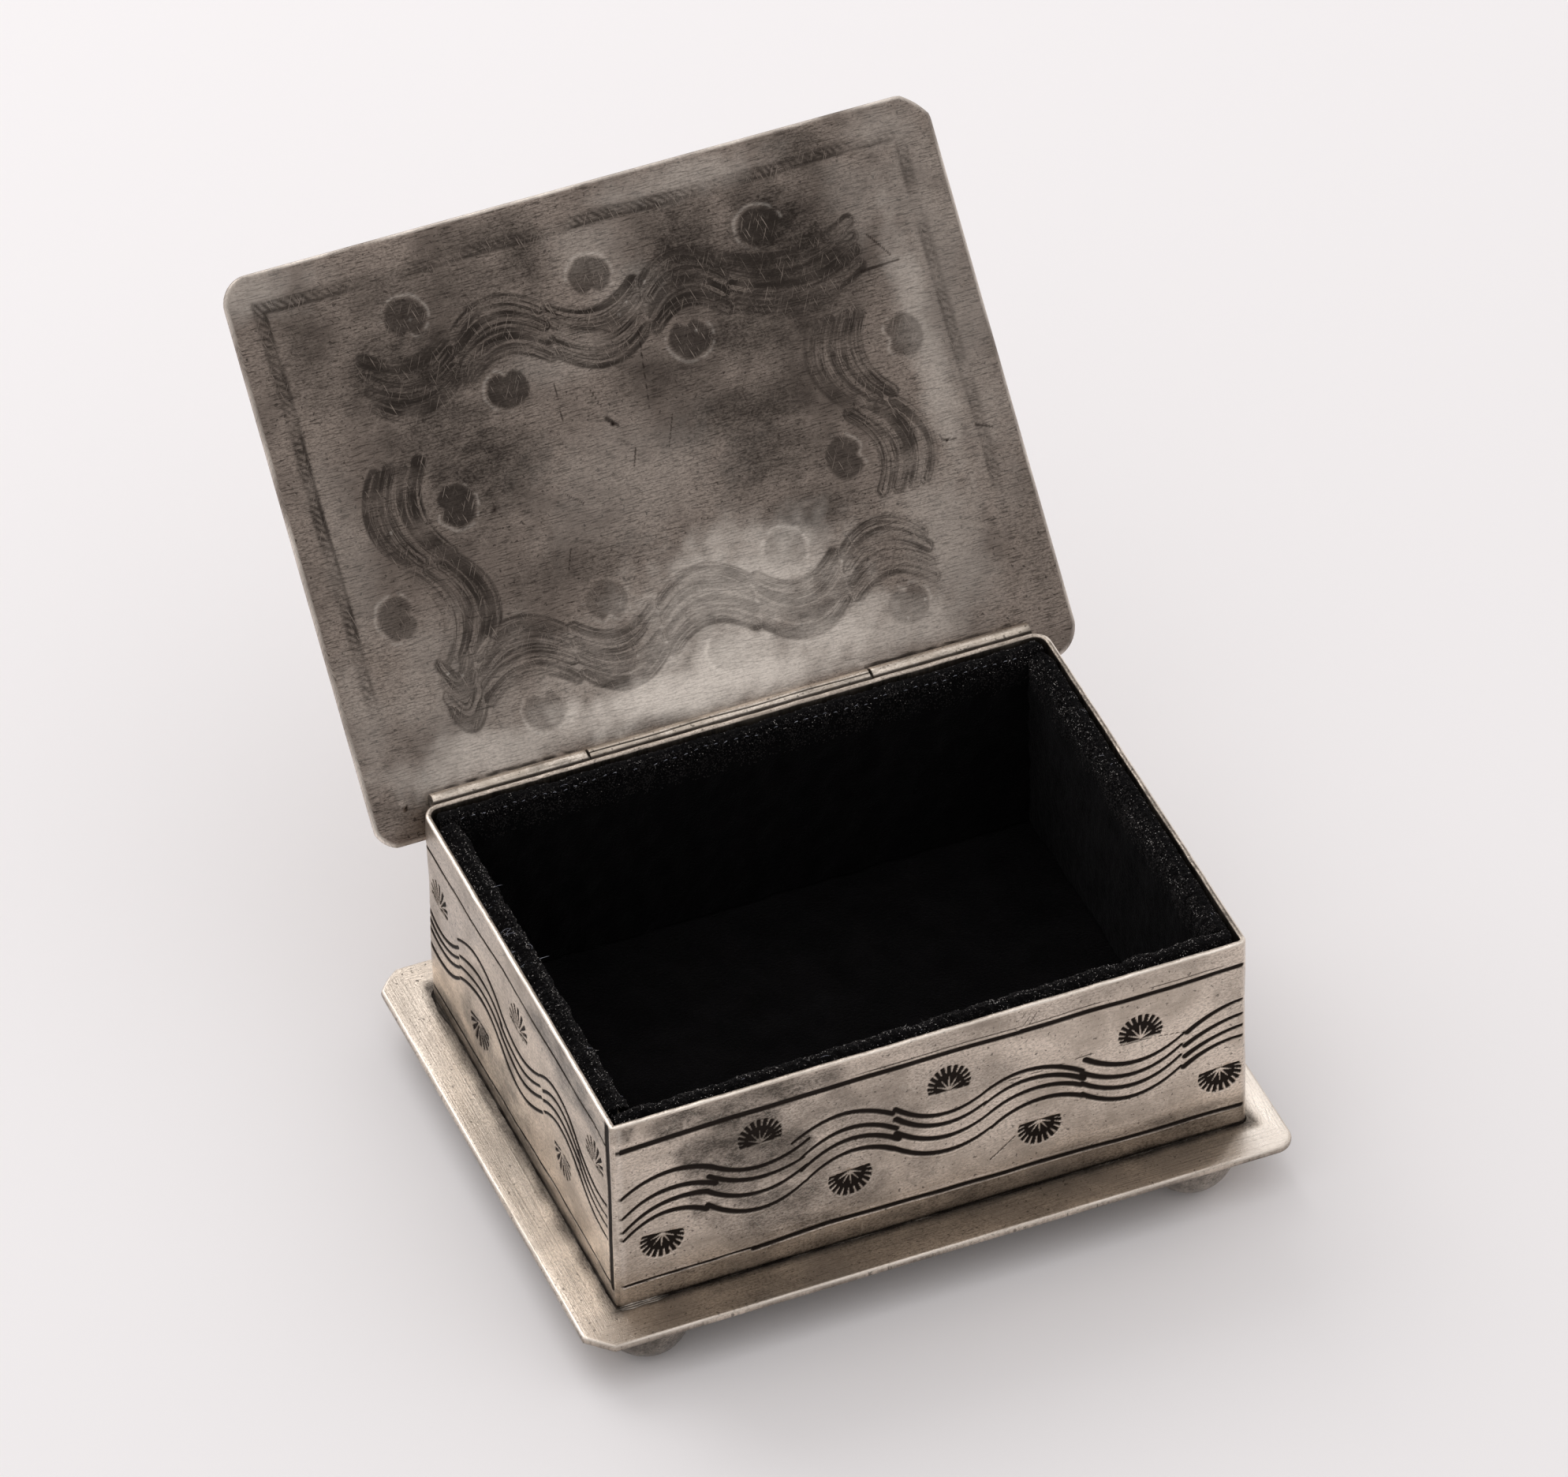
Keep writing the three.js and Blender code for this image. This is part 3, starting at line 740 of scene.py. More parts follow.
def decorate_wall(relief):
    """Waves, fans, lines, and stains with painted shade, on all four faces of the strip."""
    faces = {
        "front": (outline.starts[0] - bend_front_left, front_waves),
        "right": (outline.starts[2] - bend_front_right, plain_waves(1.5, depth - 2.5, 5)),
        "back": (outline.starts[4] - bend_back, plain_waves(2.5, width - 2.5, 7)),
        "left": (outline.starts[6] - bend_back, left_waves),
    }
    for side, (start, waves) in faces.items():
        bold, teeth = (1.2, coarse_teeth) if side == "left" else (1.12, fine_teeth)

        def on_strip(points):
            return [(start + x, height - below) for x, below in points]

        for row in waves:
            for points in row:
                chisel(relief, on_strip(points), bold, points is row[-1])
        for way, slack, fans in ((0, 4, fans_up[side]), (180, 5, fans_down[side])):
            for place in on_strip(fans):
                turn = way + rng.uniform(-slack, slack)
                relief.fan(place, turn, rng.uniform(-0.18, 0.18), teeth)
        for points, thick in scribed[side]:
            relief.stroke(on_strip(points), (thick, thick * 0.9, thick * 0.8), line_cut)
        for x, below, long, tall, strength in smoke_and_shade[side]:
            relief.stain((start + x, height - below), (long, tall), strength)


wall_cell = 0.6
wall_split = 5
# From the outer face over the rim and down the inside: how far in, and how far above the rim
rim_rows = (
    (0.02, -0.26), (0.07, -0.13), (0.17, -0.04), (0.3, 0.0), (0.5, 0.0), (0.66, -0.03), (0.75, -0.1),
    (sheet, -0.3), (sheet, -6.0), (sheet, -height), (0.1, -height),
)
rim_fall = 0.3
rim_row_gap = 0.15


def build_wall():
    """The worked outer face, the worn rim and the plain inside."""
    relief = Relief()
    decorate_wall(relief)
    face_height = height - rim_bevel
    flat, faces, sides = grid(outline.length, face_height, wall_cell, wall_split, relief.worked)
    along, up = flat.T
    deep, oxide = relief.cut(along, up)
    place, out = outline.at(np.mod(along, outline.length))
    calm = smooth(0, 3, up) * smooth(0, 2.5, face_height - up)
    sway = 0.07 * ripple(along, up, 22, 3) + 0.025 * ripple(along, up, 7, 4)
    sway *= calm * smooth(0, 3, along) * smooth(0, 3, outline.length - along)
    bent_edges = (0.35, outline.starts[1] + bend_front_right * 0.8)
    rubbed_and_highlit = sum(np.exp(-((along - at) / 0.35) ** 2) for at in bent_edges)

    points = [np.column_stack([place + out * (sway - deep)[:, None], up])]
    flats = [flat]
    worn = [0.5 * rubbed_and_highlit * (1 - oxide)]
    dull = [relief.stained_and_shaded(along, up)]
    rings = [sides[2]]
    columns = along[sides[2]]
    count = len(columns)
    rim_place, rim_out = outline.at(np.mod(columns, outline.length))
    nick = 0.06 * np.clip(line_ripple(columns, 9, 5), -1, 1) + 0.03 * line_ripple(columns, 2.5, 6) - 0.07
    lively = np.clip(0.75 + 0.25 * line_ripple(columns, 14, 8), 0, 1)
    on_right = (columns > outline.starts[2]) & (columns < outline.starts[3])
    bright_to = np.where(on_right, 0.25, 0.4)
    for number, (inset, rise) in enumerate(rim_rows):
        soft = np.clip(-rise, 0, rim_fall) / rim_fall
        points.append(np.column_stack([rim_place - rim_out * inset, height + rise + nick * (1 - soft)]))
        flats.append(np.column_stack([columns, np.full(count, height + rim_row_gap * (number + 1))]))
        worn.append(lively * (inset < bright_to) * (rise > -0.2))
        dull.append(np.where(on_right, 0.9, 0.45) * (inset > bright_to))
        rings.append(len(flat) + number * count + np.arange(count))
    rings.append(sides[0])
    faces += strip(rings, closed=False)
    oxide = np.concatenate([oxide, np.zeros(len(rim_rows) * count)])
    marks = {"oxide": oxide, "stain": np.concatenate(dull), "worn": np.concatenate(worn)}
    wall = make("silver_wall", in_row(np.concatenate(points)), faces, wall_silver, "box", "body_wall",
                flat=np.concatenate(flats), marks=marks)
    weld(wall)


# Sheets with eased corners: the base plate and the lid

def ease_corners(x, y, half_x, half_y, corners):
    """Pulls a rectangle's corners in. Each corner has its side in x and y, the length that it takes off, and
    how far it is clipped straight (1) or rounded (0)."""
    x, y = np.array(x, float), np.array(y, float)
    for side_x, side_y, leg, clip in corners:
        a = np.clip((side_x * x - half_x + leg) / leg, 0, 1)
        b = np.clip((side_y * y - half_y + leg) / leg, 0, 1)
        both = (a > 0) & (b > 0)
        new_a = clip * a * (1 - b / 2) + (1 - clip) * a * np.sqrt(1 - b * b / 2)
        new_b = clip * b * (1 - a / 2) + (1 - clip) * b * np.sqrt(1 - a * a / 2)
        x[both] = (side_x * (half_x - leg + leg * new_a))[both]
        y[both] = (side_y * (half_y - leg + leg * new_b))[both]
    return x, y


def border_loop(sides):
    low, right, high, left = sides
    return np.concatenate([low[:-1], right[:-1], high[:0:-1], left[:0:-1]])


sheet_cell = 0.8


class Sheet:
    """A rectangular sheet with eased corners, a worked face on each side and a filed edge."""

    def __init__(self, size, corners, inset):
        self.size = np.array(size)
        self.face_size = self.size - 2 * inset
        self.corners = corners
        self.inset = inset
        self.points, self.flat, self.faces, self.marks = [], [], [], []
        self.count = 0

    def spread(self, x, y, inset):
        """Places on the sheet for points of a rectangle that starts at its low corner."""
        half_x, half_y = self.size / 2 - inset
        corners = [(sx, sy, leg - 0.6 * inset, clip) for sx, sy, leg, clip in self.corners]
        return ease_corners(x - half_x, y - half_y, half_x, half_y, corners)

    def add(self, x, y, z, flat, marks):
        """Adds points with their places on the sheet and their marks, and returns their numbers."""
        numbers = np.arange(self.count, self.count + len(x))
        self.count += len(x)
        self.points.append(np.column_stack([x, y, z]))
        self.flat.append(flat)
        self.marks.append(marks)
        return numbers

    def face(self, level, wanted, describe, upward, split=4):
        """One face: level(x, y, in from the edge) is its height, and describe(x, y) gives its marks. Returns
        its border's numbers and flat places."""
        flat, faces, sides = grid(*self.face_size, sheet_cell, split, wanted)
        x, y = self.spread(*flat.T, self.inset)
        edge = np.minimum(flat, self.face_size - flat).min(1) + self.inset
        numbers = self.add(x, y, level(x, y, edge), np.column_stack([x, y]), describe(x, y))
        self.faces += [numbers[face if upward else face[::-1]].tolist() for face in faces]
        loop = border_loop(sides)
        return numbers[loop], flat[loop]

    def edge(self, low_loop, high_loop, flat_loop, rows):
        """Filed edge from the lower border to the upper one: rows of inset, height, wear and stain."""
        rings = [low_loop]
        for inset, level, worn, stain in rows:
            places = flat_loop / self.face_size * (self.size - 2 * inset)
            x, y = self.spread(*places.T, inset)
            uneven = 1 + 0.5 * ripple(x, y, 12, 21)
            marks = {"stain": np.clip(stain * uneven, 0, 1), "worn": np.clip(worn * uneven, 0, 1)}
            rings.append(self.add(x, y, level(x, y), np.column_stack([x, y + 2 * inset]), marks))
        rings.append(high_loop)
        self.faces += strip([ring.tolist() for ring in rings])

    def joined(self):
        """All points, faces, flat places and marks, with 0 for a mark that a face doesn't have."""
        marks = {}
        for name in mark_names:
            marks[name] = np.concatenate([
                given.get(name, np.zeros(len(points))) for given, points in zip(self.marks, self.points)])
        return np.concatenate(self.points), self.faces, np.concatenate(self.flat), marks


# The plate's corners, as ease_corners takes them, how strong its tarnish is, and how strong the painted shade
# in front of the wall and the painted highlight on the left flange are
plate_corners = ((-1, -1, 3.3, 1.0), (1, -1, 2.3, 0.3), (1, 1, 3.6, 0.6), (-1, 1, 3.4, 0.75))
plate_inset = 0.45
plate_middle = (plate_high + plate_low) / 2
foot_tarnish = 0.85
front_painted_shade = 0.4
left_flange_highlight = 0.16


def plate_marks(x, y):
    """Tarnish along the wall's foot, painted shade in front of it where the flange mirrors the wall, and
    painted highlights at the right end and on the left flange.
    """
    east, north = x + plate_middle[0], y + plate_middle[1]
    left_gap = -east - width / 2
    right_gap = east - width / 2
    front_gap = -north - depth / 2
    from_back = depth / 2 - north
    gap = np.maximum(np.abs(east) - width / 2, np.abs(north) - depth / 2)
    beside_left = smooth(-0.4, 0.1, left_gap) * smooth(1.5, 4.0, from_back)
    reach = 1.3 + 0.4 * ripple(x, y, 6, 33) + 0.8 * beside_left * (1 - smooth(20, 60, from_back) * 0.6)
    smudge = np.exp(-np.hypot(right_gap, front_gap) ** 2 / 2.5)
    foot = 1 - smooth(0.2, reach + smudge, gap)
    # Painted shade: the front flange mirrors the dark foot of the wall, fading towards the right end
    in_front = smooth(0.0, 0.6, front_gap) * smooth(0, 5, width / 2 + 1 - np.abs(east))
    sky_side = 0.2 * smooth(1, 4, left_gap) * smooth(16, 2, from_back)
    fading = 1 - 0.95 * smooth(5, 46, x) * smooth(1.2, 3.6, gap)
    stain = np.max([foot_tarnish * foot, front_painted_shade * in_front * fading, sky_side], axis=0)
    # Painted highlight: the plate's right end mirrors the bright room
    slanting = right_gap + 1.3 * np.clip(front_gap, 0, 9) + 0.3 * ripple(x, y, 4, 34)
    right_end_highlight = smooth(-0.9, 0.9, slanting) * smooth(0.7, 1.8, gap - smudge)
    # Painted highlight on the outer left flange, which mirrors the bright backdrop
    bright = left_flange_highlight * smooth(0.8, 3.0, left_gap) * (1 - 0.85 * smooth(16, 2, from_back))
    return {"oxide": (0.5 - 0.1 * beside_left) * foot, "stain": np.clip(stain, 0, 1) * (1 - right_end_highlight),
            "worn": np.maximum(bright, right_end_highlight)}


def build_plate():
    """The base plate, with its edge filed round and its hairlines along each side of the wall."""
    plate = Sheet((plate_high - plate_low)[:2], plate_corners, plate_inset)
    bottom, top = plate_low[2], plate_high[2]

    def low_level(x, y, edge):
        return np.full(len(x), bottom)

    def high_level(x, y, edge):
        return top - np.abs(0.09 * ripple(x, y, 24, 31) * smooth(0.3, 3, edge)) * 0.5

    low, flat_loop = plate.face(low_level, nowhere, plate_marks, upward=False)
    high, _ = plate.face(high_level, nowhere, plate_marks, upward=True)
    rows = ((0.16, bottom + 0.06, 0, 0.5), (0.04, bottom + 0.2, 0, 0.5), (0.0, bottom + 0.5, 0, 0.45),
            (0.04, top - 0.3, 0.1, 0.3), (0.15, top - 0.1, 0.7, 0), (0.3, top - 0.02, 0.5, 0))
    plate.edge(low, high, flat_loop, [
        (inset, lambda x, y, z=z: np.full(len(x), z), worn, stain) for inset, z, worn, stain in rows])
    points, faces, flat, marks = plate.joined()
    points = points + np.array([plate_middle[0], plate_middle[1], 0])
    middles = np.array([points[face].mean(0) for face in faces])
    turned = np.abs(middles[:, 0]) - width / 2 > np.abs(middles[:, 1]) - depth / 2
    make("silver_plate", in_row(points), faces, plate_silver, "box", "base_plate",
         flat=flat, marks=marks, turned=turned)


# Lid: drawn closed about the hinge axis, then turned open

def lid_angle():
    """How far the CAD lid stands open, from the slope of its largest flat."""
    flats = frame["nodes"]["lid_panel"].data.polygons
    normal = max(flats, key=lambda p: p.area).normal
    if normal.y > 0:
        normal = -normal
    return math.atan2(-normal.y, -normal.z)


open_angle = lid_angle()


def in_lid(points):
    """Points drawn on the closed lid, in millimetres from the hinge axis, as metres where the open lid is."""
    points = np.asarray(points, float)
    c, s = math.cos(open_angle), math.sin(open_angle)
    turned = np.column_stack([
        points[:, 0], points[:, 1] * c + points[:, 2] * s, -points[:, 1] * s + points[:, 2] * c])
    return in_row(turned + hinge)


lid_width = 101.6
lid_depth = 78.7
lid_rear = 4.35

# Lid stamping, as millimetres from the left edge and from the front edge: where each fan's straight side has
# its middle, the way that its arch points, in degrees from the front towards the right, and how dark it shows
lid_fans = (
    ((23.2, 12.8), 0, 0.8), ((49.3, 13.9), 0, 0.75), ((73.9, 13.6), 0, 0.95), ((34.3, 22.4), 180, 0.9),
    ((60.4, 22.4), 180, 0.85), ((21.4, 37.1), 90, 0.95), ((12.6, 49.3), -90, 0.6), ((87.8, 31.4), 90, 0.6),
    ((78.2, 45.0), -90, 0.75), ((39.3, 56.2), 0, 0.5), ((65.0, 56.2), 0, 0.35), ((27.1, 64.9), 180, 0.5),
    ((53.9, 63.9), 180, 0.25), ((79.6, 64.6), 180, 0.4),
)
# Bands of wave lines: start, end, the joints between, the side of the first bow, and how dark they show below
lid_bands = (
    ((15.4, 18.6), (86.8, 17.8), (28.6, 42.0, 55.7, 67.5), -1, 1.1),
    ((14.3, 60.6), (85.0, 60.2), (19.5, 33.2, 45.7, 59.3, 72.1), -1, 0.95),
    ((16.6, 29.6), (18.6, 57.0), (43.6,), 1, 1.0),
    ((80.7, 26.0), (84.0, 51.4), (38.9,), 1, 1.0),
)
lid_line_gap = 2.1
lid_swing = 1.7
lid_jog = 0.55
lid_joint_gap = 0.75

# Tarnish under the lid, then a painted highlight near the hinge and along the right side: centre, size and
# strength
lid_smoke = (
    ((22.0, 18.0), (13.0, 8.0), 0.85), ((41.5, 7.5), (4.5, 6.0), 0.75), ((63.0, 13.0), (9.0, 10.0), 0.9),
    ((77.0, 15.0), (12.0, 11.0), 1.0), ((84.0, 22.0), (6.0, 6.0), 0.6), ((72.0, 24.0), (16.0, 7.0), 0.8),
    ((56.0, 28.0), (9.0, 5.0), 0.6), ((66.0, 35.0), (15.0, 5.0), 0.8), ((66.0, 42.0), (10.0, 6.0), 0.75),
    ((28.0, 33.0), (11.0, 9.0), 0.85), ((22.5, 37.0), (6.0, 7.0), 0.5), ((24.0, 27.0), (11.0, 6.0), 0.75),
    ((36.0, 49.5), (15.0, 3.6), 0.45), ((70.0, 51.0), (9.0, 4.0), 0.65), ((30.0, 19.0), (12.0, 8.0), 0.5),
    ((31.0, 9.5), (9.0, 5.0), 0.5), ((37.0, 3.5), (9.0, 3.0), 0.6), ((82.0, 3.0), (7.0, 3.6), 0.7),
    ((21.5, 8.0), (9.0, 5.0), 0.5), ((9.5, 13.0), (6.0, 9.0), 0.5), ((42.0, 72.0), (15.0, 2.0), 0.7),
    ((8.6, 70.6), (0.7, 1.6), 0.8), ((7.0, 74.0), (8.0, 3.4), 0.4), ((99.0, 62.0), (3.0, 14.0), 0.25),
)
lid_painted_highlight = (
    ((54.0, 66.5), (12.0, 5.0), 0.85), ((50.0, 69.0), (28.0, 4.6), 0.9), ((68.0, 67.0), (12.0, 5.0), 0.68),
    ((58.0, 58.0), (18.0, 9.0), 0.68), ((61.4, 51.8), (4.0, 2.2), 0.42), ((18.0, 70.0), (17.0, 5.0), 0.48),
    ((76.0, 69.0), (14.0, 4.5), 0.4), ((92.0, 32.0), (3.4, 24.0), 0.34), ((3.0, 61.0), (4.0, 9.0), 0.16),
    ((96.5, 26.0), (8.0, 34.0), 0.16), ((47.0, 40.0), (16.0, 10.0), 0.1), ((50.5, 8.5), (7.0, 5.0), 0.16),
    ((45.5, 64.0), (6.0, 4.5), 0.6), ((88.0, 12.0), (5.0, 7.0), 0.12), ((87.0, 60.0), (7.0, 15.0), 0.22),
    ((54.0, 15.5), (6.0, 5.0), 0.14), ((4.0, 2.5), (10.0, 4.0), 0.3), ((66.0, 3.0), (14.0, 3.0), 0.25),
    ((94.0, 4.0), (7.0, 4.0), 0.2), ((42.0, 22.0), (8.0, 4.0), 0.12), ((17.0, 61.0), (12.0, 12.0), 0.16),
    ((7.0, 40.0), (4.0, 16.0), 0.1), ((36.0, 63.0), (14.0, 7.0), 0.24),
)
lid_flecks = (
    (53.4, 17.0), (56.5, 15.0), (52.0, 18.4), (61.6, 23.2), (59.4, 60.2), (61.2, 62.8),
    (72.3, 58.2), (41.4, 62.9), (82.0, 66.2), (79.0, 68.0), (15.6, 58.3), (17.4, 59.0),
    (13.4, 38.2), (67.6, 59.2), (73.0, 64.2), (23.9, 11.6),
)
lid_pits = ((27.8, 38.8, 0.45), (41.2, 44.1, 0.5), (46.9, 32.2, 0.5), (94.0, 46.3, 0.35), (91.0, 46.5, 0.3))
# Dark scratches and nicks under the lid: from, to and half their width
lid_nicks = (
    ((46.3, 31.3), (47.5, 32.6), 0.32), ((53.9, 21.0), (52.4, 31.5), 0.07), ((49.0, 36.2), (48.2, 38.4), 0.12),
    ((45.2, 27.2), (46.0, 29.6), 0.07), ((40.6, 25.0), (40.3, 30.5), 0.06), ((55.2, 33.2), (53.5, 37.4), 0.06),
    ((38.0, 39.6), (40.0, 41.4), 0.07), ((36.5, 46.8), (35.4, 49.6), 0.08), ((86.0, 21.6), (91.5, 21.3), 0.2),
    ((88.2, 17.0), (90.6, 20.4), 0.12), ((95.6, 45.5), (97.8, 46.4), 0.2), ((90.4, 46.2), (92.4, 46.6), 0.12),
)
lid_solder = (4.6, 73.6)
lid_tubes = ("lid_knuckle_left", "lid_knuckle_right")


def on_lid(x, from_front):
    """A place on the lid, from its middle: rightwards and backwards."""
    return x - lid_width / 2, from_front - lid_depth / 2


def lid_strokes():
    """The lid's wave lines: four lines of curved strokes along each band, each with its band's darkness."""
    strokes = []
    for start, end, joints, first, darkness in lid_bands:
        a, b = np.array(start), np.array(end)
        axis = 0 if abs(b[0] - a[0]) > abs(b[1] - a[1]) else 1
        stops = [a[axis], *joints, b[axis]]
        across = np.array([0.0, 1.0]) if axis == 0 else np.array([1.0, 0.0])
        jogs = rng.uniform(-lid_jog, lid_jog, len(stops) - 1)
        for line in range(4):
            shift = across * (line - 1.5) * lid_line_gap
            side = first
            for low, high, jog in zip(stops, stops[1:], jogs):
                ends = (low + lid_joint_gap, (low + high) / 2, high - lid_joint_gap)
                share = [(stop - a[axis]) / (b[axis] - a[axis]) for stop in ends]
                places = [a + (b - a) * t + shift + across * jog for t in share]
                places[1] = places[1] - across * side * lid_swing * 1.5
                points = [on_lid(*(p + rng.uniform(-0.15, 0.15, 2))) for p in places]
                strokes.append((points, darkness, (line - 1.5) * lid_line_gap * (1 if axis == 0 else -1)))
                side = -side
    return strokes


def blot(x, y, spots):
    """Soft-edged patches, each with a centre, a size and a strength."""
    total = np.zeros(np.shape(x))
    rough = 0.13 * ripple(x, y, 7, 49)
    fine = 0.07 * ripple(x, y * 2, 2.6, 50)
    for place, (long, tall), strength in spots:
        centre = on_lid(*place)
        away = np.hypot((x - centre[0]) / long, (y - centre[1]) / tall) + rough + fine
        total = np.maximum(total, strength * (1 - smooth(0.2, 1.25, away)))
    return total


# Scratched border under the lid: how far in each pair of lines lies, and how strong it is
border_left = (4.5, 1.25)
border_right = (5.4, 0.65)
border_front = (5.0, 1.15)
border_half = 0.6
hatch_pitch = 1.1
# A stamp's swelling under the lid: its middle from the fan's straight side, its radius, and how far it rises
disc_rise = 1.6
disc_radius = 3.2
disc_lift = 0.09
line_lift = 0.02
solder_bead = 0.6


class LidRelief:
    """Both faces of the lid: stamped on top, and low dark swellings below where the stamps came through."""

    def __init__(self):
        self.stamps = Relief()
        self.ghosts = []
        self.discs = []
        for points, darkness, offset in lid_strokes():
            chisel(self.stamps, points)
            self.ghosts.append((through(*points), darkness * rng.uniform(0.8, 1.0), offset))
        for place, turn, darkness in lid_fans:
            centre = np.array(on_lid(*place))
            turn = 180 - turn + rng.uniform(-6, 6)
            self.stamps.fan(centre, turn, rng.uniform(-0.3, 0.3))
            self.discs.append((centre, math.radians(turn), darkness, rng.uniform(0, 6.28)))

    def under(self, x, y):
        """How far the underside swells, how dark the marks are, the light line round them, how dark a band of
        wave lines is, and the place across it."""
        lift, shade, ring, band, lane = (np.zeros(np.shape(x)) for _ in range(5))
        nearest = np.full(np.shape(x), 99.0)
        for path, darkness, offset in self.ghosts:
            at = near(x, y, path.min(0), path.max(0), 2.2)
            gap = signed_gap(x[at], y[at], path)
            profile = 1 - np.abs(gap) / (lid_line_gap * 0.55)
            lift[at] = np.maximum(lift[at], line_lift * smooth(-0.2, 0.8, profile))
            band[at] = np.maximum(band[at], darkness * smooth(-0.08, 0.2, profile))
            lane[at] = np.where(np.abs(gap) < nearest[at], offset + gap, lane[at])
            nearest[at] = np.minimum(nearest[at], np.abs(gap))
        for centre, turn, darkness, lit_from in self.discs:
            at = near(x, y, centre, centre, 6.0)
            dx, dy = x[at] - centre[0], y[at] - centre[1]
            u = dx * math.cos(turn) - dy * math.sin(turn)
            w = dx * math.sin(turn) + dy * math.cos(turn) - disc_rise
            rough = 0.03 * ripple(dx, dy, 3.0, int(10 * lit_from))
            notch = 0.3 * np.exp(-(u / 0.7) ** 2) * smooth(-0.9, -1.6, w)
            away = np.hypot(u, w * 1.1) / disc_radius + rough + notch
            lift[at] = np.maximum(lift[at], disc_lift * (1 - smooth(0.7, 1.15, away)))
            shade[at] = np.maximum(shade[at], 0.95 * darkness * (1 - smooth(0.82, 0.98, away)))
            lit = smooth(0.0, 0.9, np.cos(np.arctan2(dy, dx) - lit_from) + 0.8 * ripple(dx, dy, 2.0, 46))
            thin = smooth(0.95, 1.05, away) * (1 - smooth(1.05, 1.18, away))
            ring[at] = np.maximum(ring[at], 0.2 * lit * thin)
        bead = distance(x, y, on_lid(*lid_solder)) / solder_bead
        lift = np.maximum(lift, 0.3 * np.sqrt(np.clip(1 - bead ** 2, 0, 1)))
        return lift, shade, ring, band, lane

    def border(self, x, y):
        """The pair of scratched lines inside the front and side edges, with fine hatching between them."""
        wander = 0.15 * ripple(x, y, 22, 44)
        gaps = (x + lid_width / 2 - border_left[0], lid_width / 2 - x - border_right[0],
                y + lid_depth / 2 - border_front[0])
        shares = (border_left[1], border_right[1], border_front[1])
        beside = np.min(gaps, axis=0) + wander
        strength = np.select([gap + wander == beside for gap in gaps], shares)
        inner = 0.75 - 0.75 * smooth(0.1, 0.45, np.abs(beside - border_half))
        outer = 0.45 - 0.45 * smooth(0.1, 0.45, np.abs(beside + border_half))
        slanting = 0.5 + 0.3 * np.sin(2 * math.pi * (x - y) / hatch_pitch + 1.5 * ripple(x, y, 3, 47))
        filled = slanting * (1 - smooth(0.45, 1.3, np.abs(beside)))
        fade = smooth(lid_depth / 2 - 12, lid_depth / 2 - 28, y)
        fade = fade * np.clip(0.75 + 0.45 * ripple(x, y, 9, 45), 0.15, 1)
        return strength * fade * np.max([inner, outer, filled], axis=0)

    def tube_line(self, x, y):
        """The crusty line of solder where the two outer hinge tubes are joined to the lid."""
        beside = np.zeros(np.shape(x), bool)
        for node in lid_tubes:
            low, high = (end[0] - hinge[0] for end in from_home(node))
            beside |= (x > low) & (x < high)
        away = np.abs(y - lid_depth / 2 + lid_rear + tube_radius + 0.15 + 0.08 * ripple(x, y, 5, 55))
        return beside * (1 - smooth(0.12, 0.4, away)) * np.clip(0.7 + 0.5 * ripple(x, y, 3, 56), 0, 1)

    def nicks(self, x, y):
        """Dark scratches, from 0 to 1."""
        total = np.zeros(np.shape(x))
        for start, end, half in lid_nicks:
            path = np.array([on_lid(*start), on_lid(*end)])
            profile = stroke_profile(x, y, path, (half, half * 0.6))
            total = np.maximum(total, 0.8 * smooth(-0.6, 0.5, profile))
        return total

    def worked_under(self, x, y):
        """Where the underside needs fine cells."""
        lift, _, ring, _, _ = self.under(x, y)
        drawn = np.max([ring, self.border(x, y), self.tube_line(x, y), self.nicks(x, y)], axis=0)
        return (lift > 0.003) | (drawn > 0.02)

    def under_marks(self, x, y):
        _, shade, ring, band, lane = self.under(x, y)
        # Painted highlight: the bright room mirrored in the underside near the hinge and along the right side
        handling_and_highlight = blot(x, y, lid_painted_highlight)
        patchy = np.clip(0.85 + 0.22 * ripple(x, y, 5, 48), 0.4, 1)
        calm = 1 - 0.75 * handling_and_highlight
        hatch = np.maximum(shade * calm, self.border(x, y))
        oxide = np.maximum(0.85 * self.tube_line(x, y), self.nicks(x, y))
        for px, py, size in lid_pits:
            away = distance(x, y, on_lid(px, py))
            oxide = np.maximum(oxide, 1 - smooth(0.4, 1.0, away / size))
        bright = np.minimum(1, ring + handling_and_highlight * (1 - 0.3 * np.maximum(hatch, band)))
        for place in lid_flecks:
            away = distance(x, y, on_lid(*place))
            bright = np.maximum(bright, 0.7 - 0.7 * smooth(0.08, 0.3, away))
        return {"oxide": oxide, "stain": blot(x, y, lid_smoke), "worn": bright, "hatch": hatch,
                "band": band * calm * patchy, "lane": lane}

    def top_marks(self, x, y):
        # On the top face this is only wear from handling
        handling_and_highlight = np.clip(0.42 + 0.1 * ripple(x, y, 30, 57), 0, 1)
        return {"oxide": self.stamps.cut(x, y)[1], "worn": handling_and_highlight}


def lid_bevel(x, y):
    """The filed bevel under the lid's rear edge, by its left corner, from 0 to 1."""
    return np.exp(-((x + lid_width / 2 - 4.0) / 2.8) ** 4) * (y > 0)


def lid_form(x, y, edge):
    """How far the lid's sheet rises: its border's flare, and a slight waviness that never dips below 0."""
    sway = 0.10 * ripple(x, y, 34, 41) + 0.05 * ripple(x, y, 13, 42) + 0.03
    sway = (sway + np.sqrt(sway ** 2 + 0.004)) / 2
    return lid_flare * np.clip(1 - edge / lid_border, 0, 1) ** 2 + sway * smooth(0.5, 6, edge)


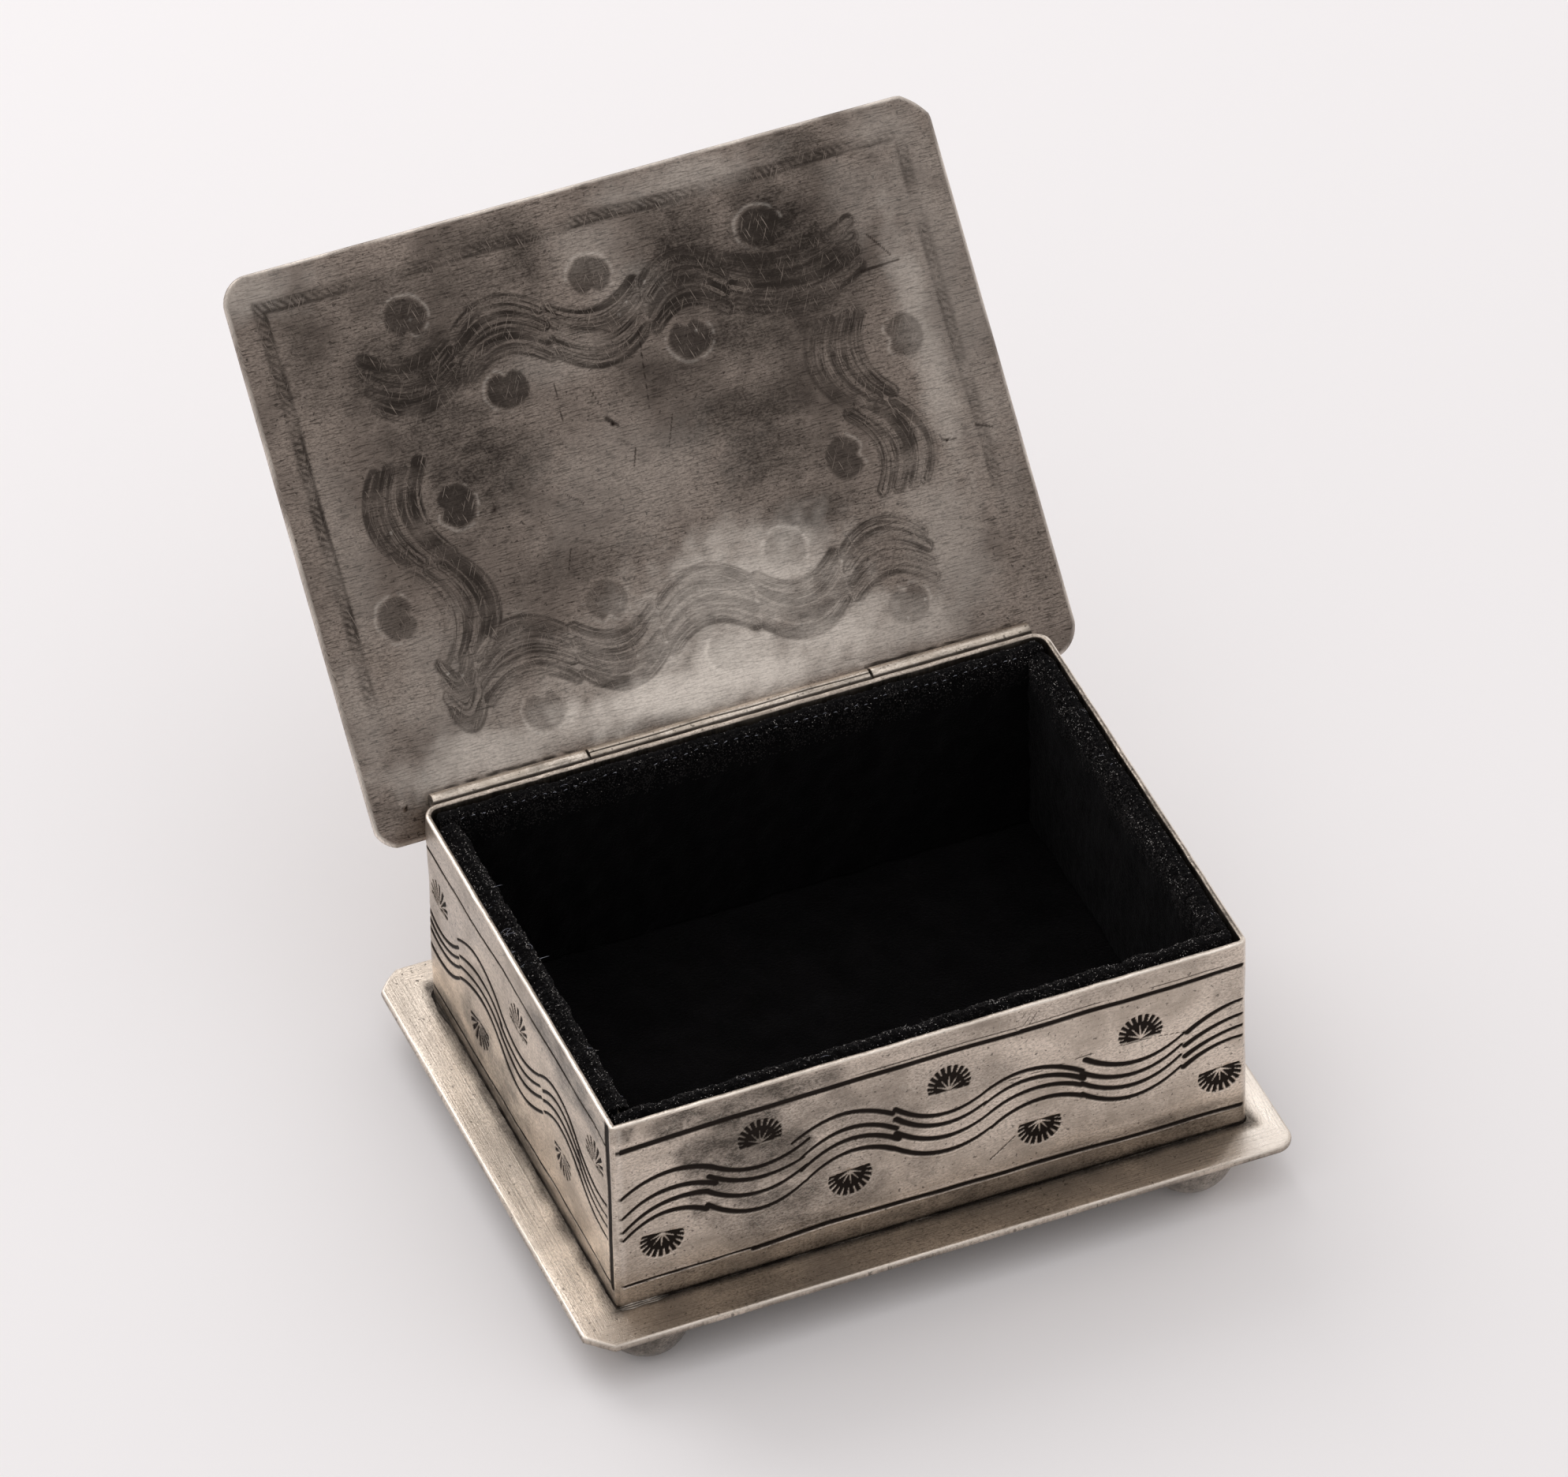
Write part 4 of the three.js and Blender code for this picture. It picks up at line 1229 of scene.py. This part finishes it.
# The lid's corners, as ease_corners takes them
lid_corners = ((-1, -1, 3.6, 0.15), (1, -1, 3.6, 0.7), (1, 1, 4.2, 0.15), (-1, 1, 2.6, 0.4))
lid_inset = 0.6
bevel_deep = 0.45
# The lid's filed edge, from below: how far in, how high, its share of the bevel, and its wear
lid_edge = (
    (0.34, -0.02, 0.8, 0.4), (0.14, 0.08, 0.9, 0.6), (0.03, 0.28, 0.6, 0.5), (0.0, 0.55, 0.0, 0.4),
    (0.05, 0.8, 0.0, 0.4), (0.18, 0.93, 0.0, 0.5), (0.36, 0.97, 0.0, 0.3),
)


def build_lid():
    """The lid, drawn shut, with its stamped top, its underside and its filed edge."""
    relief = LidRelief()
    lid = Sheet((lid_width, lid_depth), lid_corners, lid_inset)

    def under_level(x, y, edge):
        filed = bevel_deep * lid_bevel(x, y) * np.clip(1 - edge / 1.4, 0, 1)
        return axis_to_lid + lid_form(x, y, edge) + filed - relief.under(x, y)[0]

    def top_level(x, y, edge):
        return axis_to_lid + lid_sheet + lid_form(x, y, edge) - relief.stamps.cut(x, y)[0]

    def from_middle(worked):
        def wanted(u, v):
            return worked(u + lid_inset - lid_width / 2, v + lid_inset - lid_depth / 2)
        return wanted

    def edge_level(rise, share):
        def level(x, y):
            return axis_to_lid + lid_flare + rise + share * bevel_deep * lid_bevel(x, y)
        return level

    low, flat_loop = lid.face(under_level, from_middle(relief.worked_under), relief.under_marks, upward=False)
    high, _ = lid.face(top_level, from_middle(relief.stamps.worked), relief.top_marks, upward=True, split=5)
    rows = [(inset, edge_level(rise, share), worn, 0) for inset, rise, share, worn in lid_edge]
    lid.edge(low, high, flat_loop, rows)
    points, faces, flat, marks = lid.joined()
    points[:, 1] = points[:, 1] + lid_rear - lid_depth / 2
    make("silver_lid", in_lid(points), faces, lid_silver_with_painted_shade, "lid", "lid_panel", flat=flat, marks=marks)


# Hinge tubes, feet and solder

def lathe(profile, turns):
    """A turned form: profile gives distance along the axis and radius. Returns its points as along, across
    and up, its rings of point numbers, and the angle of every point."""
    angles = np.tile(np.linspace(0, 2 * math.pi, turns, endpoint=False), len(profile))
    far, radius = np.repeat(np.array(profile), turns, axis=0).T
    points = np.column_stack([far, radius * np.cos(angles), radius * np.sin(angles)])
    return points, ring_numbers(len(profile), turns), angles


tube_turns = 96
tube_steps = 40
# Where painted shade lies round a hinge tube, in the crevice by the wall, as angles in the row's frame
crevice_shade_from, crevice_shade_full, crevice_shade_to = (math.radians(angle) for angle in (121, 133, 250))


def tube_profile(start, end):
    """Section of a hinge tube: along the bore, round a worn end, along the outside and round the other end."""
    near_end = [(start + 0.4, tube_bore), (start + 0.02, tube_bore + 0.03), (start, tube_bore + 0.12),
                (start, tube_radius - tube_lip), (start + 0.05, tube_radius - 0.04)]
    outside = [(x, tube_radius) for x in np.linspace(start + tube_lip, end - tube_lip, tube_steps)]
    far_end = [(start + end - x, radius) for x, radius in near_end[:0:-1]]
    return [(end - 0.4, tube_bore)] + near_end + outside + far_end


def build_knuckle(node, body, seat_angle, turned, place_in_row):
    """A hinge tube with its bore, worn ends, a run of solder on the side that is joined, and painted shade
    along its foot by the wall. turned is how far its own frame is turned from the row's. The box's tube shows
    its rolled seam."""
    low, high = from_home(node)
    start, end = low[0], high[0]
    points, rings, around = lathe(tube_profile(start, end), tube_turns)
    faces = strip(rings + rings[:1])
    along = points[:, 0].copy()
    outer = np.hypot(points[:, 1], points[:, 2]) > tube_bore + 0.2
    swell = np.maximum(np.cos(around - seat_angle), 0) ** 6
    lumpy = 0.10 + 0.07 * ripple(along, around, 6, len(node)) + 0.02 * ripple(along, around, 1.5, 9)
    row_angle = np.mod(around - turned, 2 * math.pi)
    from_seam = np.abs(row_angle - tube_seam + 0.05 * line_ripple(along, 14, 12)) * tube_radius
    seam = (1 - smooth(0.06, 0.17, from_seam)) * (body == "box")
    scale = 1 + np.where(outer, swell * np.clip(lumpy, 0, 0.19), 0) + 0.004 * ripple(along, around * 2, 4, 3)
    scale -= np.where(outer, 0.06 * seam, 0)
    points[:, 1:] *= scale[:, None]
    ends = (np.abs(along - start) < 0.02) | (np.abs(along - end) < 0.02)
    # Painted shade in the crevice between the tube and the wall, carried as oxide
    crevice_shade = 0.9 * smooth(crevice_shade_from, crevice_shade_full, row_angle) * (row_angle < crevice_shade_to)
    streak = 0.35 * smooth(0.3, 1.2, ripple(along, around * 3, 5, 13))
    oxide = np.max([0.3 * smooth(0.25, 0.9, swell), crevice_shade, 0.9 * seam, streak * 0.4], axis=0)
    marks = {"oxide": np.where(ends | ~outer, 0.7, oxide), "stain": streak}
    make(f"hinge_{node}", place_in_row(points), faces, hinge_silver, body, node,
         flat=np.column_stack([along, around * tube_radius]), marks=marks)


shaded_foot = "foot_front_left"
foot_rings = 22
foot_turns = 48
foot_worn_flat = 0.07


def build_foot(node, seed):
    """A half-ball foot, a little uneven, worn flat underneath."""
    low, high = from_home(node)
    centre = (low + high) / 2
    radius, tall = (high[0] - low[0]) / 2, high[2] - low[2]
    profile = [(tall, 0.0), (tall, radius * 0.6)]
    for angle in np.linspace(math.pi / 2, 0, foot_rings + 1):
        profile.append((tall - tall * math.cos(angle), radius * math.sin(angle)))
    points, loops, around = lathe(profile, foot_turns)
    points = points[:, [1, 2, 0]]
    level = points[:, 2].copy()
    points[:, 2] = np.maximum(level, foot_worn_flat) - foot_worn_flat * (level < tall * 0.4)
    points[:, :2] *= (1 + 0.012 * ripple(around * 3, points[:, 2], 6, seed))[:, None]
    flat = np.column_stack([around * radius, points[:, 2]])
    # The front left foot stands in shadow: its extra stain is painted shade, the others' is tarnish
    tarnish_and_shade = 0.5 if node == shaded_foot else 0.1
    marks = {"oxide": 0.35 * smooth(tall * 0.75, tall, points[:, 2]), "stain": np.full(len(points), tarnish_and_shade)}
    base = np.array([centre[0], centre[1], low[2]])
    piece = make(f"ball_{node}", in_row(points + base), strip(loops), foot_silver, "box", node,
                 flat, marks)
    weld(piece)


solder_columns = 640
# Section of the run of solder: how far out from the wall and how far up, as shares of its size
solder_section = ((-0.1, 1.0), (0.05, 0.95), (0.22, 0.55), (0.5, 0.24), (0.95, 0.05), (1.0, -0.1))
# Lumps: how far along the wall, how long and how tall. The first two are bare metal.
solder_lumps = ((1.5, 1.6, 0.5), (4.5, 1.5, 0.35), (outline.starts[6] + 3, 3.0, 0.5))
bare_lumps = solder_lumps[:2]


def build_solder():
    """The run of solder along the wall's foot: thin, uneven, with lumps near the corners."""
    columns = np.linspace(0, outline.length, solder_columns)[:-1]
    place, out = outline.at(columns)
    size = 0.13 + 0.05 * np.clip(line_ripple(columns, 8, 51), -1, 1.4) + 0.04 * line_ripple(columns, 2.2, 52)
    for far, long, tall in solder_lumps:
        size += tall * np.exp(-((columns - far) / long) ** 2)
    size = np.clip(size, 0.12, 1.5)
    bare = np.clip(sum(np.exp(-((columns - far) / long) ** 2) for far, long, _ in bare_lumps), 0, 1)
    crusty = np.clip(0.85 + 0.25 * line_ripple(columns, 7, 54), 0.4, 0.95) * (1 - 0.8 * bare)
    points, flats = [], []
    for number, (away, up) in enumerate(solder_section):
        rough = 0.02 * ripple(columns, columns * 0 + number, 1.6, 53)
        points.append(np.column_stack([place + out * (size * away + rough)[:, None], size * up * 0.8]))
        flats.append(np.column_stack([columns, np.full(len(columns), number * 0.4)]))
    count = len(solder_section)
    marks = {"oxide": np.tile(crusty, count), "worn": np.tile(0.35 * bare, count)}
    loops = [ring[::-1] for ring in ring_numbers(count, len(columns))]
    make("wall_solder", in_row(np.concatenate(points)), strip(loops + loops[:1]), solder_silver, "box",
         flat=np.concatenate(flats), marks=marks)


# Lining

fold_swell = 0.55
fold_back = 9.0
back_gap = 0.12
inner_rows = 36
over_rows = 15
back_rows = 8
column_pitch = 0.24
rib_pitch = 1.1
corner_round = 1.6
corner_press = 0.35
fold_lean = {"front": 0.4, "right": 0.0, "back": 0.0, "left": 0.0}
# Rows of a panel's section, by number: where its fold starts and ends, where the seam lies, and where the
# waves of its inner face stop
fold_start = inner_rows - 1
fold_end = inner_rows + over_rows - 2
seam_row = fold_start + 4
waves_end = inner_rows + 2
# How each panel lies in plan: the direction of its length, then of its outer side
panel_ways = {
    "front": ((1, 0), (0, -1)),
    "right": ((0, 1), (1, 0)),
    "back": ((-1, 0), (0, 1)),
    "left": ((0, -1), (-1, 0)),
}
stitched_side = "back"
# Standing pile: how many to a square millimetre, length, half thickness, and how far below the fold it starts.
# The loose fibres have their number for each side.
pile_look = (10, 0.5, 0.1, 3.5)
loose_look = (0.6, 0.045, 0.6)
loose_density = {"front": 3.0, "right": 2.6, "back": 1.2, "left": 3.6}


def fold_profile(low, near_face, far_face, top):
    """Section of velvet folded over a card: up the inner face, over the top and down the back."""
    thick = far_face - near_face
    round_off = thick * 0.42
    steps = [(near_face, z) for z in np.linspace(low, top - round_off, inner_rows)]
    for angle in np.linspace(0, math.pi, over_rows)[1:-1]:
        inward = near_face + thick / 2 * (1 - math.cos(angle))
        steps.append((inward, top - round_off + round_off * math.sin(angle)))
    steps += [(far_face, z) for z in np.linspace(top - round_off, top - fold_back, back_rows)]
    return np.array(steps)


def build_panel(side, seed):
    """Velvet over one wall's card, with a soft uneven top edge, and pile and loose fibres along it."""
    low, high = from_home(f"{side}_velvet")
    length_way, outward_way = np.array(panel_ways[side])
    long_axis = int(np.argmax(np.abs(length_way)))
    thick_axis = 1 - long_axis
    half = (high[long_axis] - low[long_axis]) / 2 + corner_press
    inner, outer = sorted((abs(low[thick_axis]), abs(high[thick_axis])))
    far_face = outer + back_gap
    section = fold_profile(low[2], inner, far_face, high[2] + fold_swell)
    columns = np.linspace(-half, half, round(half * 2 / column_pitch) + 1)
    across, along = np.meshgrid(np.arange(len(section)), columns)
    reach, level = section[across, 0], section[across, 1]
    near_top = smooth(high[2] - 4, high[2] - 0.6, level)
    waves = -0.16 * ripple(along, level + across * 0.2, 5, seed)
    waves = waves - 0.07 * ripple(along, level * 2, 1.4, seed + 1)
    reach = reach + np.where(across < waves_end, waves, 0)
    past = np.clip(np.abs(along) - half + corner_round, 0, corner_round)
    reach = np.minimum(reach, far_face - corner_round + np.sqrt(corner_round ** 2 - past ** 2))
    uneven = 0.16 * ripple(along, reach, 7, seed + 2) + 0.10 * ripple(along, reach * 2, 1.5, seed + 3)
    ribs = 0.05 * np.sin(2 * math.pi * along / rib_pitch)
    level = level + near_top * (uneven + ribs - 0.15 + fold_lean[side] * along / half)
    level = np.minimum(level, height - 0.1)
    plan = along[..., None] * length_way + reach[..., None] * outward_way
    rows = np.concatenate([plan, level[..., None]], axis=-1)
    faces = strip(ring_numbers(len(columns), len(section)), closed=False)
    panel = make(f"{side}_lining", in_row(rows.reshape(-1, 3)), faces, black_velvet, "box",
                 f"{side}_velvet")
    loose = (loose_density[side], *loose_look)
    tufts = [build_pile(f"{side}_pile", rows, seed + 60, pile_look, pile_velvet),
             build_pile(f"{side}_fuzz", rows, seed + 61, loose, loose_fibre)]
    if side == stitched_side:
        build_stitches(side, rows[:, seam_row], np.array([*(-0.6 * outward_way), 0.8]))


# Faces of a spike: three sides and its base
spike_faces = ((0, 1, 3), (1, 2, 3), (2, 0, 3), (0, 2, 1))
spike_root = 0.08
above_rim = 0.06


def build_pile(name, points, seed, look, material):
    """Fibres that stand on the fold of a panel and the top of its inner face, each a slim spike."""
    density, length, thick, below_fold = look
    draw = np.random.default_rng(seed)
    run = np.concatenate([[0], np.cumsum(np.linalg.norm(np.diff(points[0], axis=0), axis=1))])
    low, high = run[fold_start] - below_fold, run[fold_end] + 0.6
    count = int(density * (high - low) * np.linalg.norm(points[-1, 0] - points[0, 0]))
    row = draw.uniform(0, len(points) - 1.001, 3 * count)
    clumped = 0.6 + 0.25 * line_ripple(row, 9, seed + 5)
    row = row[draw.uniform(0, 1, 3 * count) < clumped][:count]
    count = len(row)
    col = np.interp(low + (high - low) * draw.uniform(0, 1, count) ** 0.7, run, np.arange(len(run)))
    r, c = row.astype(int), np.minimum(col.astype(int), len(run) - 2)
    fr, fc = (row - r)[:, None], (col - c)[:, None]
    root = (points[r, c] * (1 - fr) + points[r + 1, c] * fr) * (1 - fc)
    root = root + (points[r, c + 1] * (1 - fr) + points[r + 1, c + 1] * fr) * fc
    out = unit(np.cross(points[r + 1, c] - points[r, c], points[r, c + 1] - points[r, c]))
    way = unit(out + draw.normal(0, 0.5, (count, 3)))
    across = unit(np.cross(way, draw.normal(0, 1, (count, 3))))
    other = np.cross(way, across)
    size = length * draw.uniform(0.5, 1.3, count)[:, None]
    half = thick * draw.uniform(0.7, 1.4, count)[:, None]
    base = root - way * spike_root
    tip = base + way * size
    tip[:, 2] = np.minimum(tip[:, 2], height + above_rim)
    corners = [base + half * across, base + half * (0.87 * other - 0.5 * across),
               base - half * (0.87 * other + 0.5 * across), tip]
    spikes = np.stack(corners, 1).reshape(-1, 3)
    first = len(corners) * np.arange(count)[:, None]
    faces = np.concatenate([first + np.array(face) for face in spike_faces])
    return make(name, in_row(spikes), faces.tolist(), material, "box")


stitch_first = 11
stitch_every = 6
stitch_missing = 0.12
stitch_radius = 0.047


def build_stitches(side, seam, out):
    """Small pale stitches in a row along the shoulder of a panel's fold."""
    runs = []
    for start in range(stitch_first, len(seam) - stitch_first, stitch_every):
        if rng.random() < stitch_missing:
            continue
        aside = rng.normal(0, 0.07, 3)
        lift = out * rng.uniform(0.35, 0.5)
        a, b = seam[start] + aside, seam[start] + 1.1 * (seam[start + 2] - seam[start]) + aside
        runs.append([a, a * 0.75 + b * 0.25 + lift, a * 0.25 + b * 0.75 + lift, b])
    join_threads(f"{side}_stitches", runs, stitch_radius)


def build_floor():
    """Velvet laid on the floor card, slightly uneven."""
    low, high = from_home("floor_velvet")
    size = high - low
    flat, faces, _ = grid(size[0], size[1], 1.0, 1, nowhere)
    x, y = (flat + low[:2]).T
    z = high[2] - 0.2 + 0.12 * ripple(x, y, 9, 71) + 0.06 * ripple(x, y, 2.5, 72)
    points = np.column_stack([x, y, np.minimum(z, high[2])])
    floor = make("floor_lining", in_row(points), faces, black_velvet, "box", "floor_velvet")


def thread(points, radius, sides=6):
    """A thin round thread along points: its mesh points and faces."""
    points = np.asarray(points, float)
    ways = unit(np.gradient(points, axis=0))
    across = unit(np.cross(ways, np.array([0.3, 0.2, 0.93])))
    other = np.cross(ways, across)
    angles = np.linspace(0, 2 * math.pi, sides, endpoint=False)
    taper = np.full(len(points), radius)
    taper[[0, -1]] = radius * 0.35
    rings = [p + t * (np.cos(angles)[:, None] * a + np.sin(angles)[:, None] * o)
             for p, a, o, t in zip(points, across, other, taper)]
    loops = ring_numbers(len(points), sides)
    return np.concatenate(rings), strip(loops) + [loops[0][::-1], loops[-1]]


def join_threads(name, runs, radius):
    """One piece of many threads."""
    points, faces, count = [], [], 0
    for run in runs:
        more, its_faces = thread(run, radius)
        points.append(more)
        faces += [[i + count for i in face] for face in its_faces]
        count += len(more)
    make(name, in_row(np.concatenate(points)), faces, grey_thread, "box")


lint_all_round = 34
lint_on_left = 26
lint_radius = 0.028


def build_lint():
    """Stray fibres caught on the top of the velvet all round, and a few more on the left."""
    runs = []
    top = from_home("front_velvet")[1][2]
    inner_x, inner_y = width / 2 - sheet - 1.8, depth / 2 - sheet - 1.8
    for number in range(lint_all_round + lint_on_left):
        on_long = rng.random() < 0.6
        along = rng.uniform(-1, 1)
        x = along * (inner_x - 2) if on_long else rng.choice([-1, 1]) * inner_x
        y = rng.choice([-1, 1]) * inner_y if on_long else along * (inner_y - 2)
        if number >= lint_all_round:
            x, y = -inner_x - 0.4 + rng.normal(0, 0.6), 7 + rng.normal(0, 5)
        turn, bend, long = rng.uniform(0, 6.28), rng.uniform(-2.2, 2.2), rng.uniform(0.8, 2.4)
        run = []
        for t in np.linspace(0, 1, 7):
            angle = turn + bend * t
            run.append((x + long * t * math.cos(angle), y + 0.5 * long * t * math.sin(angle),
                        top + 0.05 + 0.25 * math.sin(3 * t + turn)))
        runs.append(run)
    join_threads("lint", runs, lint_radius)


# Floor, light and camera, in metres

stage_reach = 6.0


def build_stage():
    """A pale floor under the box."""
    material, nodes = new_material("pale_floor")
    cloudy = nodes.noise(nodes.add("ShaderNodeTexCoord").outputs["Object"], 1.5, 3.0)
    colour = nodes.blend(cloudy, (0.90, 0.875, 0.88, 1), (0.925, 0.90, 0.905, 1))
    nodes.finish({"Base Color": colour, "Roughness": 0.9, "Specular IOR Level": 0.1})
    mesh = bpy.data.meshes.new("pale_floor")
    corners = [(x * stage_reach, y * stage_reach, 0) for x, y in ((-1, -1), (1, -1), (1, 1), (-1, 1))]
    mesh.from_pydata(corners, [], [(0, 1, 2, 3)])
    mesh.materials.append(material)
    link("pale_floor", mesh)


def softbox(name, place, size, power):
    """A square lamp that faces the box."""
    data = bpy.data.lights.new(name, "AREA")
    data.shape = "RECTANGLE"
    data.size, data.size_y = size, size
    data.energy = power
    lamp = link(name, data)
    lamp.location = place
    lamp.rotation_mode = "QUATERNION"
    lamp.rotation_quaternion = (Vector((0, 0, 0.03)) - Vector(place)).to_track_quat("-Z", "Y")


def build_light():
    """A white tent, brightest above and behind, and dimmer on the camera's side."""
    world = bpy.data.worlds.new("studio")
    bpy.context.scene.world = world
    nodes = Nodes(world)
    way = nodes.add("ShaderNodeTexCoord").outputs["Generated"]
    upward = {0: way, 1: (0.1, 0.5, 0.85)}
    lean = nodes.add("ShaderNodeVectorMath", upward, operation="DOT_PRODUCT").outputs["Value"]
    level = nodes.add("ShaderNodeSeparateXYZ", {"Vector": way}).outputs["Z"]
    tent, horizon = nodes.between(lean, 0.0, 0.7, 0.57, 0.86), nodes.between(level, 0.0, 0.3, 0.15, 0.0)
    inputs = {"Color": (1.0, 0.985, 0.985, 1), "Strength": nodes.math("ADD", tent, horizon)}
    sky = nodes.add("ShaderNodeBackground", inputs)
    nodes.add("ShaderNodeOutputWorld", {"Surface": sky.outputs["Background"]})
    softbox("key", (-0.15, 0.70, 0.72), 0.6, 2.3)
    softbox("top", (-0.1, 0.15, 1.0), 0.8, 0.5)


def build_camera():
    """The camera that took the photograph, aimed and shifted as fitted to it."""
    az, el, roll = camera_azimuth, camera_elevation, camera_roll
    back = Vector((math.sin(az) * math.cos(el), -math.cos(az) * math.cos(el), math.sin(el)))
    level = Vector((0, 0, 1)).cross(back).normalized()
    upright = back.cross(level)
    right = math.cos(roll) * level + math.sin(roll) * upright
    up = -math.sin(roll) * level + math.cos(roll) * upright
    place = back * camera_distance + right * camera_right + up * camera_up
    data = bpy.data.cameras.new("camera")
    data.sensor_width = sensor_width
    data.lens = focal_pixels * sensor_width / photo_width
    data.clip_start, data.clip_end = 0.05, 50
    camera = link("camera", data)
    turn = Matrix((right, up, back)).transposed().to_4x4()
    camera.matrix_world = Matrix.Translation(Vector(in_row(place))) @ turn
    bpy.context.scene.camera = camera


build_camera()
build_stage()
build_light()
build_wall()
build_plate()
build_lid()
build_knuckle("body_knuckle", "box", math.pi, 0, lambda p: in_row(p + np.array([0, hinge[1], hinge[2]])))
for tube in lid_tubes:
    build_knuckle(tube, "lid", math.pi / 2, open_angle, lambda p: in_lid(p - np.array([hinge[0], 0, 0])))
for number, foot in enumerate(("foot_front_left", "foot_front_right", "foot_back_left", "foot_back_right")):
    build_foot(foot, 80 + number)
build_solder()
for number, side in enumerate(panel_ways):
    build_panel(side, 90 + 10 * number)
build_floor()
build_lint()
for card in ("floor_card", "front_card", "right_card", "back_card", "left_card"):
    frame["nodes"][card].data.materials[0] = grey_card
frame["nodes"]["hinge_pin"].data.materials[0] = foot_silver

bpy.context.scene.view_settings.view_transform = "Standard"
